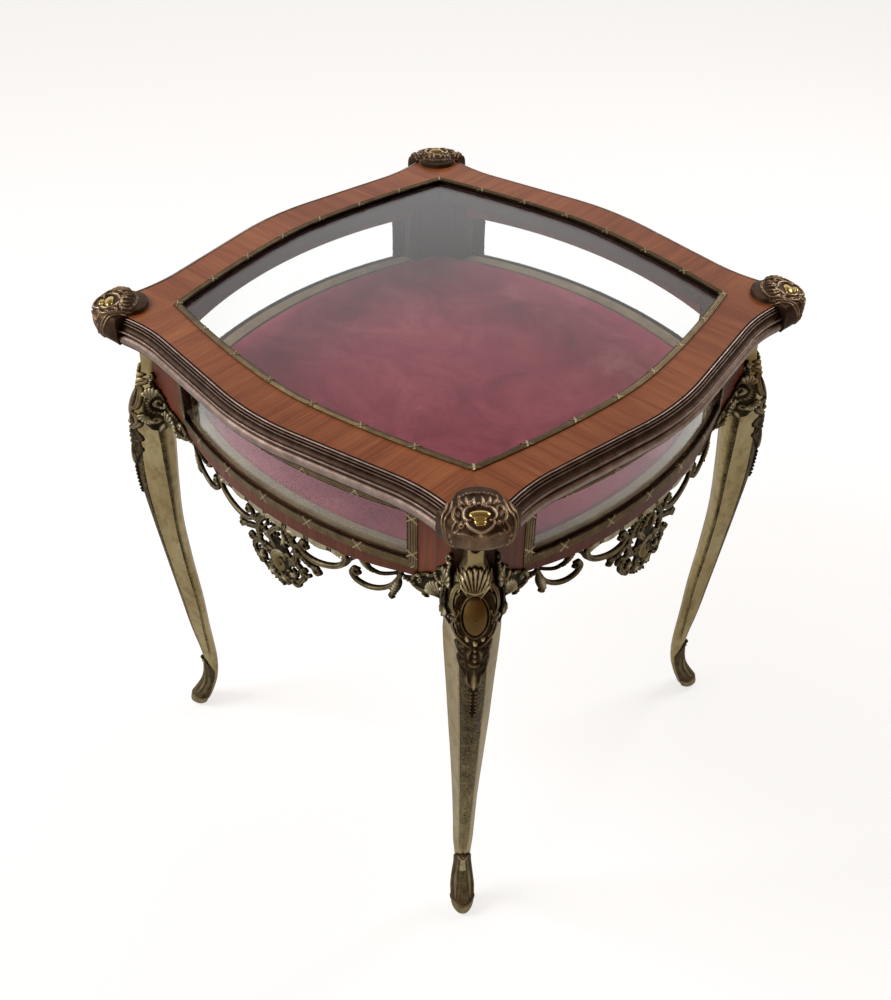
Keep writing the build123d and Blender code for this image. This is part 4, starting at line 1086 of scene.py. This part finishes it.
def clasp_mesh():
    """Cast corner: the top is a low crown drawn out from its middle to the plan's edge, and the
    sides roll outwards and under. Relief is raised square to the surface, worked out on the
    unrolled casting, where (r, s) is the place seen from above and continues down the sides."""
    outer, inner = cheek(MOULDING_REACH + 3.0), cheek(0)
    nose = arc_through(outer, outer[0] + CLASP_NOSE, 121)
    side = np.linspace(outer, inner, 16)[1:-1] * [1, -1]
    lip = arc_through(inner * [1, -1], inner[0] - CLASP_LIP, 81)
    lip[:, 0] += 2.4 * np.abs(np.sin(np.linspace(0, 5 * np.pi, 81)))
    edge = np.vstack([nose, side, lip, side[::-1] * [1, -1]])
    ends = np.cumsum([len(nose), len(side), len(lip)])
    nose_part, cheek_part, lip_part = np.zeros((3, len(edge)))
    nose_part[:ends[0]] = np.sin(np.linspace(0, np.pi, len(nose))) ** 0.7
    cheek_part[:ends[0]] = 1 - nose_part[:ends[0]]
    cheek_part[ends[0]:ends[1]] = np.linspace(1, 0, len(side))
    cheek_part[ends[2]:] = np.linspace(0, 1, len(side))
    lip_part[ends[1]:ends[2]] = 1.0
    to_edge = edge - CLASP_MIDDLE
    to_edge /= np.linalg.norm(to_edge, axis=1)[:, None]

    fine = smooth_line(CLASP_ROUNDING, 46)
    back = (fine[:, 1:2] * nose_part + fine[:, 2:3] * cheek_part
            + np.maximum(fine[:, :1] - 0.6, 0) * 6 * lip_part)
    height = fine[:, :1] * (CLASP_TOP - LID_BOTTOM)
    low = np.where(lip_part > 0, LID_TOP - 0.4, LID_BOTTOM)
    drop = CLASP_TOP - np.minimum(height[0] - height, CLASP_TOP - low)
    plan = edge - to_edge * back[..., None]
    sides = np.concatenate([plan, drop[..., None]], -1)
    reach = np.linspace(0, 1, 44)[1:-1, None, None]
    top = CLASP_MIDDLE + (plan[0] - CLASP_MIDDLE) * reach
    crown = CLASP_TOP + 2.0 * (1 - reach**2) * np.ones((1, len(edge), 1))
    form = np.concatenate([np.concatenate([top, crown], -1), sides])

    steps = np.linalg.norm(np.diff(form, axis=0), axis=-1)
    run = np.vstack([np.zeros(len(edge)), np.cumsum(steps, 0)])
    first = np.linalg.norm(top[0] - CLASP_MIDDLE, axis=-1)
    unrolled = CLASP_MIDDLE + to_edge * (first + run)[..., None]
    cast = clasp_relief(unrolled[..., 0], unrolled[..., 1])
    around = np.concatenate([form[:, -1:], form, form[:, :1]], 1)
    across = around[:, 2:] - around[:, :-2]
    down = np.gradient(form, axis=0)
    square = np.cross(across, down)
    square /= np.maximum(np.linalg.norm(square, axis=-1), 1e-9)[..., None]
    square *= np.where(square[:1, :, 2:] < 0, -1, 1)
    keep_edge = 1 - np.clip((np.arange(len(form)) - len(form) + 5) / 4, 0, 1)
    front = form + square * (cast.height * keep_edge[:, None])[..., None]
    values = 0.26 + 0.74 * cast.worn()
    ridge = np.exp(-((fine[:, 0] - 0.04) / 0.05) ** 2)
    smooth = 0.5 * np.clip((0.9 - fine[:, :1]) / 0.1, 0, 1)
    rolled = values[-len(fine):]
    rolled[:] = np.maximum(rolled, smooth * nose_part) + 0.4 * ridge[:, None] * nose_part

    under = form[-1] - np.concatenate([to_edge * 4.0, np.zeros((len(edge), 1))], -1)
    lid = under * [1, 1, 0] + np.where(lip_part > 0, low, LID_TOP - 5)[:, None] * [0, 0, 1]
    rings = np.concatenate([front, under[None], lid[None]])
    nose_line = form[:, len(nose) // 2]
    return tube(rings, np.concatenate([values, np.zeros((2, len(edge)))])), nose_line


def clasp_relief(r, s):
    """Scrolls round the urn in two rows, twin rims at the cheeks, leaves and a ragged edge on the
    lip, and a bowl under the urn."""
    cast = Relief(r, s)
    cast.window = lambda low, high: (slice(None), slice(None))
    for side in (-1, 1):
        cast.flip = 1, side
        cast.stroke([(410, 26, 0.9), (424, 28, 1.2), (436, 31, 1.3), (446, 37, 1.3), (458, 45, 1.2),
            (480, 55, 1.0)], 2.2, crease=0)
        cast.stroke([(412, 31, 0.9), (425, 33, 1.2), (437, 37, 1.4), (448, 44, 1.3), (460, 52, 1.2),
            (482, 62, 1.0)], 2.2, crease=0)
        cast.stroke([(437, 17.5, 0.9), (432.5, 18.5, 1.3), (430.5, 22.5, 1.5), (434, 26.5, 1.6),
            (442, 28, 1.6), (449, 26, 1.5), (452.5, 22, 1.1)], 2.6)
        cast.stroke([(452, 26, 0.9), (457, 31, 1.2), (461, 30, 1.2), (460, 24, 0.9)], 2.0, crease=0)
        cast.stroke([(429, 3.5, 0.8), (431.5, 8, 1.3), (434, 13.5, 1.5), (440, 17, 1.6),
            (447, 16.5, 1.5), (451.5, 12.5, 1.2), (450.5, 10, 0.8)], 2.6, crease=0)
        cast.stroke([(452, 14.5, 0.9), (457, 13.5, 1.3), (461.5, 9, 1.5), (464.5, 3.5, 1.5),
            (465, 0, 1.4)], 2.6, crease=0)
        cast.curl(454, 17, 3.2, 180, 320, 1.1, 2.4)
        cast.stroke([(461, 33, 0.8), (463.5, 24, 1.2), (466.5, 14, 1.2), (470, 6, 0.9)], 1.8,
            crease=0)
        cast.leaf([(431, 3), (423, 5), (414, 4)], 2.0, 2.4)
        cast.leaf([(430, 8), (422, 12), (413, 13)], 2.0, 2.2)
        cast.leaf([(429, 14), (422, 19), (414, 21)], 1.8, 2.0)
        cast.curl(426, 9, 3.4, 120, 330, 1.1, 2.6)
        cast.curl(424, 18, 3.8, 60, -330, 1.2, 2.4)
        cast.curl(440, 22.5, 3.4, 200, 320, 1.0, 1.8)
        cast.curl(456, 20.5, 3.0, 90, -330, 1.0, 1.8)
        cast.leaf([(446, 21), (441, 23), (436, 22)], 1.2, 1.6)
        for k in range(5):
            cast.knob(408 + 0.35 * k**2, 2.6 + 4.4 * k, 2.0, 1.9, 2.2)
        for k in range(3):
            cast.knob(462 + 5.5 * k, 39 + 2.5 * k, 3.0, 3.6, 2.0)
    cast.knob(427, 0, 2.2, 2.2, 2.6)
    cast.knob(468, 0, 2.2, 2.6, 2.2)
    return cast


def clasp_boss(nose_line):
    """Gilt urn between the scrolls: half widths along a smooth line, and a section that is the
    upper half of an oval, higher at the body and at the foot than at the waist."""
    shape = smooth_line([(437.6, 5.5, 0.1), (438.6, 9.6, 0.7), (441.5, 11.6, 1.0),
        (444.6, 11.0, 1.0), (447.6, 8.0, 0.8), (449.6, 6.3, 0.6), (452.6, 6.9, 0.85),
        (455.6, 6.2, 0.8), (457.6, 4.4, 0.4), (458.2, 3.0, 0.1)], 40)
    order = nose_line[:, 0].argsort()
    base = np.interp(shape[:, 0], nose_line[order, 0], nose_line[order, 2])[:, None]
    ring = full_turn(40)
    out = np.where(np.sin(ring) > 0, 3.4, 1.5) * np.sin(ring) * shape[:, 2:]
    rings = np.stack([shape[:, :1] + 0 * ring, shape[:, 1:2] * np.cos(ring), base - 0.5 + out], -1)
    return tube(rings, np.ones(rings.shape[:2]))


# ---- beading, moulding and glass
def reeds(w, width):
    """Section of a drawn beading: a raised outer fillet, three reeds and a hollow to the glass."""
    fillet = 1.1 * np.exp(-((w - 0.8) / 0.9) ** 2)
    body = np.clip((w - 1.6) / 0.8, 0, 1) * np.clip((width - w) / 2.2, 0, 1)
    return fillet + body * (0.35 + 0.75 * np.abs(np.sin(np.pi * (w - 1.8) / (width * 0.24))))


def ties(t, w, width, places):
    """Ribbon tied crosswise round a beading: two bands that cross at each of the places."""
    high = np.zeros(np.broadcast(t, w).shape)
    for place in places:
        for slope in (-0.85, 0.85):
            far = np.abs((t - place) - slope * (w - width / 2)) / np.hypot(1, slope)
            high = np.maximum(high, 1.6 * np.sqrt(np.clip(1 - (far / 1.0) ** 2, 0, 1)))
    return high


def strip(place, t, w, width, places):
    """Bar of tied beading, t along and w across it: place(height) gives the points of a face, and
    the back is 2 mm under the ground."""
    high = np.maximum(reeds(w, width), ties(t, w, width, places))
    return slab(place(high), place(high * 0 - 2.0), high / high.max())


def side_beads():
    """Mitred beading round one side pane: two bars that follow the bow and two upright ones."""
    w = np.linspace(0, BEAD_WIDTH, 27)[:, None]
    across = np.linspace(-1, 1, 330)[None] * (OPENING_HALF - w)
    middle = (BEAD_LOW + BEAD_HIGH) / 2
    up = middle + np.linspace(-1, 1, 90)[None] * (BEAD_HIGH - middle - w)
    runs = [(across, z, across, (-210, -136, -63, 11, 84, 157))
            for z in (BEAD_LOW + w, BEAD_HIGH - w)]
    runs += [(side * (OPENING_HALF - w), up, up, (BEAD_LOW + 21, BEAD_HIGH - 21))
             for side in (-1, 1)]
    return [strip(lambda out: on_bow(x, z, BEAD_BACK + out), t, w, BEAD_WIDTH, places)
            for x, z, t, places in runs]


def lid_bead():
    """Mitred beading over one edge of the lid pane."""
    edge, normal = window_edge()
    w = np.linspace(0, LID_BEAD_WIDTH, 19)[:, None]
    rows_x, rows_y = [], []
    for inset in w[:, 0]:
        line = edge - normal * inset
        inside = line[:, 1] - np.abs(line[:, 0])
        half = len(line) // 2
        share = np.interp(0, inside[half:][::-1], np.arange(half, len(line))[::-1])
        spots = np.linspace(len(line) - 1 - share, share, len(line))
        rows_x.append(np.interp(spots, np.arange(len(line)), line[:, 0]))
        rows_y.append(np.interp(spots, np.arange(len(line)), line[:, 1]))
    x, y = np.array(rows_x), np.array(rows_y)
    return strip(lambda out: np.stack([x, y, LID_TOP + 0.9 + out], -1), x, w, LID_BEAD_WIDTH,
        np.arange(-252, 260, 72))


def curve_of(centre_out, centre_down, radius, start, end, count):
    """Arc of a moulding's section, as (out, down) places."""
    angle = np.radians(np.linspace(start, end, count))
    return np.stack([centre_out + radius * np.cos(angle), centre_down + radius * np.sin(angle)], -1)


def moulding_section():
    """Section of the edge moulding as (out, height) and how rubbed each place is: a quirk and a
    thin bead beside the veneer, two reeds, a cove, a fillet and the big bullnose."""
    height = LID_TOP - LID_BOTTOM
    parts = (
        (np.array([(0, 0.1), (0.9, 0.1), (1.2, -1.0), (1.7, -1.0)]), 0.0),
        (curve_of(2.9, -0.9, 1.2, 180, 0, 9), 0.95),
        (np.array([(4.2, -1.6), (4.5, -2.2)]), 0.0),
        (curve_of(5.7, -2.6, 1.2, 150, -20, 8), 0.55),
        (np.array([(6.8, -4.0), (7.0, -4.4)]), 0.0),
        (curve_of(8.0, -5.2, 1.2, 140, -30, 8), 0.55),
        (curve_of(15.6, -5.6, 6.6, 188, 262, 9), 0.3),
        (curve_of(14.4, -13.4, 1.6, 100, -60, 9), 0.8),
        (np.array([(14.2, -15.8), (12.4, -16.6), (11.6, -17.6)]), 0.0),
        (curve_of(10.6, -25.6, 6.9, 78, -70, 22), 0.9),
        (np.array([(12.4, -33.0), (12.2, -33.4)]), 0.0),
        (curve_of(11.6, -34.5, 1.1, 60, -90, 7), 0.5),
        (np.array([(9.0, 0.2 - height), (0, 0.2 - height)]), 0.2),
    )
    rubbed = [value * (0.25 + 0.75 * np.sin(np.pi * np.linspace(0.1, 0.9, len(part))) ** 1.2)
              for part, value in parts]
    return np.vstack([part for part, _ in parts]), np.concatenate(rubbed)


def moulding_mesh():
    """Edge moulding of one side: its section is carried along the veneer's edge."""
    edge, normal = lid_edge()
    section_places, rubbed = moulding_section()
    plan = edge[:, None] + normal[:, None] * section_places[None, :, :1]
    z = LID_TOP + section_places[None, :, 1:] + 0 * plan[..., :1]
    return tube(np.concatenate([plan, z], -1), np.repeat(rubbed[None], len(edge), 0))


def side_glass():
    """Bowed side pane."""
    x, z = np.meshgrid(np.linspace(-OPENING_HALF + 0.5, OPENING_HALF - 0.5, 61),
        [PANE_LOW, PANE_HIGH])
    return slab(*(on_bow(x, z, out) for out in PANE_FACES))


# ---- velvet pad
def pad_mesh(count=150):
    """Padded board in velvet. Its plan is a square whose sides follow the bows of the case. Its
    top is crowned by (1 - |u|^6)(1 - |v|^6), it rolls over at the edge in a quarter circle, and low
    waves make the cloth uneven."""
    radius = PAD_HALF - BOW_CENTRE
    corner = (2 * BOW_CENTRE + np.sqrt(8 * radius**2 - 4 * BOW_CENTRE**2)) / 4
    edge = np.sin(np.linspace(-np.pi / 2, np.pi / 2, count))
    spaced = 0.35 * np.linspace(-1, 1, count) + 0.65 * edge
    u, v = np.meshgrid(spaced, spaced)
    x = u * (BOW_CENTRE + np.sqrt(radius**2 - (corner * v) ** 2))
    y = v * (BOW_CENTRE + np.sqrt(radius**2 - (corner * u) ** 2))
    near = (1 - np.maximum(np.abs(u), np.abs(v))) * PAD_HALF
    roll = np.sqrt(np.clip(1 - np.clip(1 - near / 7.0, 0, 1) ** 2, 0, 1))
    crown = (1 - np.abs(u) ** 6) * (1 - np.abs(v) ** 6)
    waves = (np.sin(x / 37 + np.sin(y / 51)) + np.sin(y / 43 + 1.3 * np.sin(x / 61))) * 0.18
    z = PAD_LOW + 1.0 + (PAD_HIGH - PAD_LOW - 2.4) * roll + (crown + waves * crown)
    return slab(np.stack([x, y, z], -1), np.stack([x, y, 0 * z + PAD_LOW + 0.3], -1))


# ---- pieces
def at(form, angle):
    """A form turned to its side or corner."""
    points, quads, values = form
    return turned(points, angle), quads, values


bracket = pierced(bracket_relief(), on_stile, 1.4, 0.8)
bracket_twin = mirrored_across_diagonal(bracket[0]), bracket[1], bracket[2]
clasp_form, nose_line = clasp_mesh()

# Name, body, slot, finish, forms, CAD node, angle in degrees past which an edge is sharp, and how
# far the forms are turned from where they are worked out
CORNER_PIECES = (
    ("leg_casting", "case", "leg_brass", LEG, [leg_mesh()], "leg_{}", 50, 0),
    ("knee_casting", "case", "patinated_brass", KNEE,
     [pierced(knee_relief(), knee_place, 1.3, 0.8)], "knee_mounts", 70, 0),
    ("knee_cabochon", "case", "patinated_brass", GILT, [knee_cabochon()], "knee_mounts", None, 0),
    ("sabot_casting", "case", "patinated_brass", SABOT,
     [pierced(sabot_wrap(sabot_relief()), sabot_place, 1.1, 0.7)], "sabot_{}", 70, 0),
    ("sabot_pin", "case", "patinated_brass", KNEE, [sabot_pin_mesh()], "sabot_pins", None, 0),
    ("bracket_castings", "case", "patinated_brass", MOUNT, [bracket, bracket_twin],
     "corner_brackets_{}", 70, -45),
    ("clasp_casting", "lid", "bronzed_brass", CLASP, [clasp_form], "corner_clasp_{}", 75, 0),
    ("clasp_boss", "lid", "bronzed_brass", GILT, [clasp_boss(nose_line)], "corner_clasp_{}",
     None, 0),
)
SIDE_PIECES = (
    ("apron_casting", "case", "patinated_brass", MOUNT,
     [pierced(apron_relief(), on_apron, 1.6, 1.0)], "apron_{}", 70, 0),
    ("rail_edge", "case", "kingwood_veneer", RAIL_VENEER_PAINTED_SHADE, [rail_edge()], "apron_{}", 40, 0),
    ("apron_boss", "case", "patinated_brass", HARDWARE, [apron_boss()], "apron_{}", None, 0),
    ("moulding_run", "lid", "bronzed_brass", MOULDING, [moulding_mesh()], "lid_moulding_{}", 60, 0),
    ("side_glass", "case", "glass", GLASS, [side_glass()], "side_pane_{}", 40, 0),
    ("side_bead_bars", "case", "antique_brass", BEADING, side_beads(), "side_beading", 60, 0),
)
for places, rows in ((CORNERS, CORNER_PIECES), (SIDES, SIDE_PIECES)):
    for place, angle in places.items():
        for name, body, slot, finish, forms, node, sharp, turn in rows:
            write_piece(f"{name}_{place}", body, slot, finish,
                        [at(form, angle + turn) for form in forms], node.format(place), sharp)
write_piece("lid_bead_bars", "lid", "antique_brass", BEADING,
    [at(lid_bead(), angle) for angle in SIDES.values()], "lid_beading", 60)
pad = write_piece("velvet_covered_pad", "case", "velvet", VELVET, [pad_mesh()], "velvet_pad")

FINISHES = {
    "bottom_rail_": RAIL_VENEER_PAINTED_SHADE, "top_rail_": RAIL_VENEER_PAINTED_SHADE, "corner_post_": POST_VENEER_PAINTED_SHADE,
    "lid_rail_": LID_VENEER, "lid_pane": GLASS, "ledge_border": BORDER, "base_board": BOARD,
    "hinge_": HARDWARE, "keyhole_plate": HARDWARE, "leg_bolts": MOUNT,
    "lock_": STEEL, "lid_staple": STEEL,
}
for name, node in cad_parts.items():
    for start, finish in FINISHES.items():
        if name.startswith(start):
            node.data.materials.clear()
            node.data.materials.append(finish)


# ---- floor, light and camera
def pale_floor(add):
    """Matt white floor that keeps the table's shadow and otherwise reads as plain white."""
    rays = add("LightPath")
    seen = add("Math", operation="MULTIPLY", _0=rays.outputs["Is Camera Ray"], _1=0.68)
    in_glass = add("Math", operation="MULTIPLY", _0=rays.outputs["Is Transmission Ray"], _1=0.95)
    mirrored = add("Math", operation="MULTIPLY", _0=rays.outputs["Is Glossy Ray"], _1=0.2)
    seen = add("Math", operation="MAXIMUM", _0=seen, _1=in_glass)
    glow = add("Math", operation="MAXIMUM", _0=seen, _1=mirrored)
    matt = add("BsdfDiffuse", Color=linear("#C6C6C6"))
    return add("AddShader", _0=matt, _1=add("Emission", Strength=glow))


floor_mesh = bpy.data.meshes.new("floor")
floor_mesh.from_pydata([(x, y, 0) for x, y in ((-9, -9), (9, -9), (9, 9), (-9, 9))], [],
    [(0, 1, 2, 3)])
floor_mesh.materials.append(new_material("matt_white_floor", pale_floor))
floor = bpy.data.objects.new("floor", floor_mesh)
bpy.context.scene.collection.objects.link(floor)

scene = bpy.context.scene
scene.view_settings.view_transform = "Standard"
world = bpy.data.worlds.new("studio")
world.use_nodes = True
scene.world = world
world.node_tree.nodes.clear()
sky_add = partial(add_node, world.node_tree)
height = sky_add("SeparateXYZ", Vector=sky_add("TexCoord").outputs["Generated"])
# White round the horizon, greyer overhead, so that metal has something darker to mirror
sky = ramp(sky_add, height.outputs[2], ((0.0, "#FFFFFF"), (0.45, "#FFFFFF"), (0.62, "#A3958C"),
    (0.95, "#857A72")))
# The room is darker and warmer on one side
across = sky_add("MapRange", Value=height.outputs[0], From_Min=-0.6, From_Max=0.9)
room = ramp(sky_add, across, ((0.0, "#FFFFFF"), (1.0, "#947C5C")))
both = sky_add("Mix", data_type="RGBA", blend_type="MULTIPLY", Factor=1.0, _6=sky, _7=room)
sky_add("OutputWorld", Surface=sky_add("Background", Color=both.outputs[2], Strength=1.0))


def soft_box(name, place, aim, size, power):
    """Square soft light at a place in metres, turned towards another."""
    lamp = bpy.data.lights.new(name, "AREA")
    lamp.shape = "SQUARE"
    lamp.size = size
    lamp.energy = power
    holder = bpy.data.objects.new(name, lamp)
    holder.location = place
    holder.rotation_euler = (Vector(aim) - Vector(place)).to_track_quat("-Z", "Y").to_euler()
    scene.collection.objects.link(holder)


soft_box("soft_box_left", (-1.6, -1.7, 2.5), (0, 0, 0.6), 1.2, 36)
soft_box("soft_box_back", (0.6, 2.2, 2.4), (0, 0, 0.6), 1.2, 22)

# Camera: where it looks from, in degrees round the table and above the horizon, its roll, its
# distance and what it looks at in metres, and its focal length in pixels of a 1000 pixel high image
AZIMUTH, ELEVATION, ROLL = np.radians((41.16, 39.66, 0.9487))
DISTANCE, TARGET, FOCAL = 1.851, Vector((-0.0095, 0.0016, 0.4134)), 1243.0
back = Vector((np.sin(AZIMUTH) * np.cos(ELEVATION), -np.cos(AZIMUTH) * np.cos(ELEVATION),
    np.sin(ELEVATION)))
right = Vector((0, 0, 1)).cross(back).normalized()
up = back.cross(right)
lens = bpy.data.cameras.new("camera")
lens.sensor_width = 36.0
lens.lens = FOCAL * lens.sensor_width / 1000
lens.dof.use_dof = False
camera = bpy.data.objects.new("camera", lens)
scene.collection.objects.link(camera)
axes = (right * np.cos(ROLL) + up * np.sin(ROLL), up * np.cos(ROLL) - right * np.sin(ROLL), back)
place = Matrix.Translation(TARGET + back * DISTANCE)
camera.matrix_world = place @ Matrix(axes).transposed().to_4x4()
scene.camera = camera
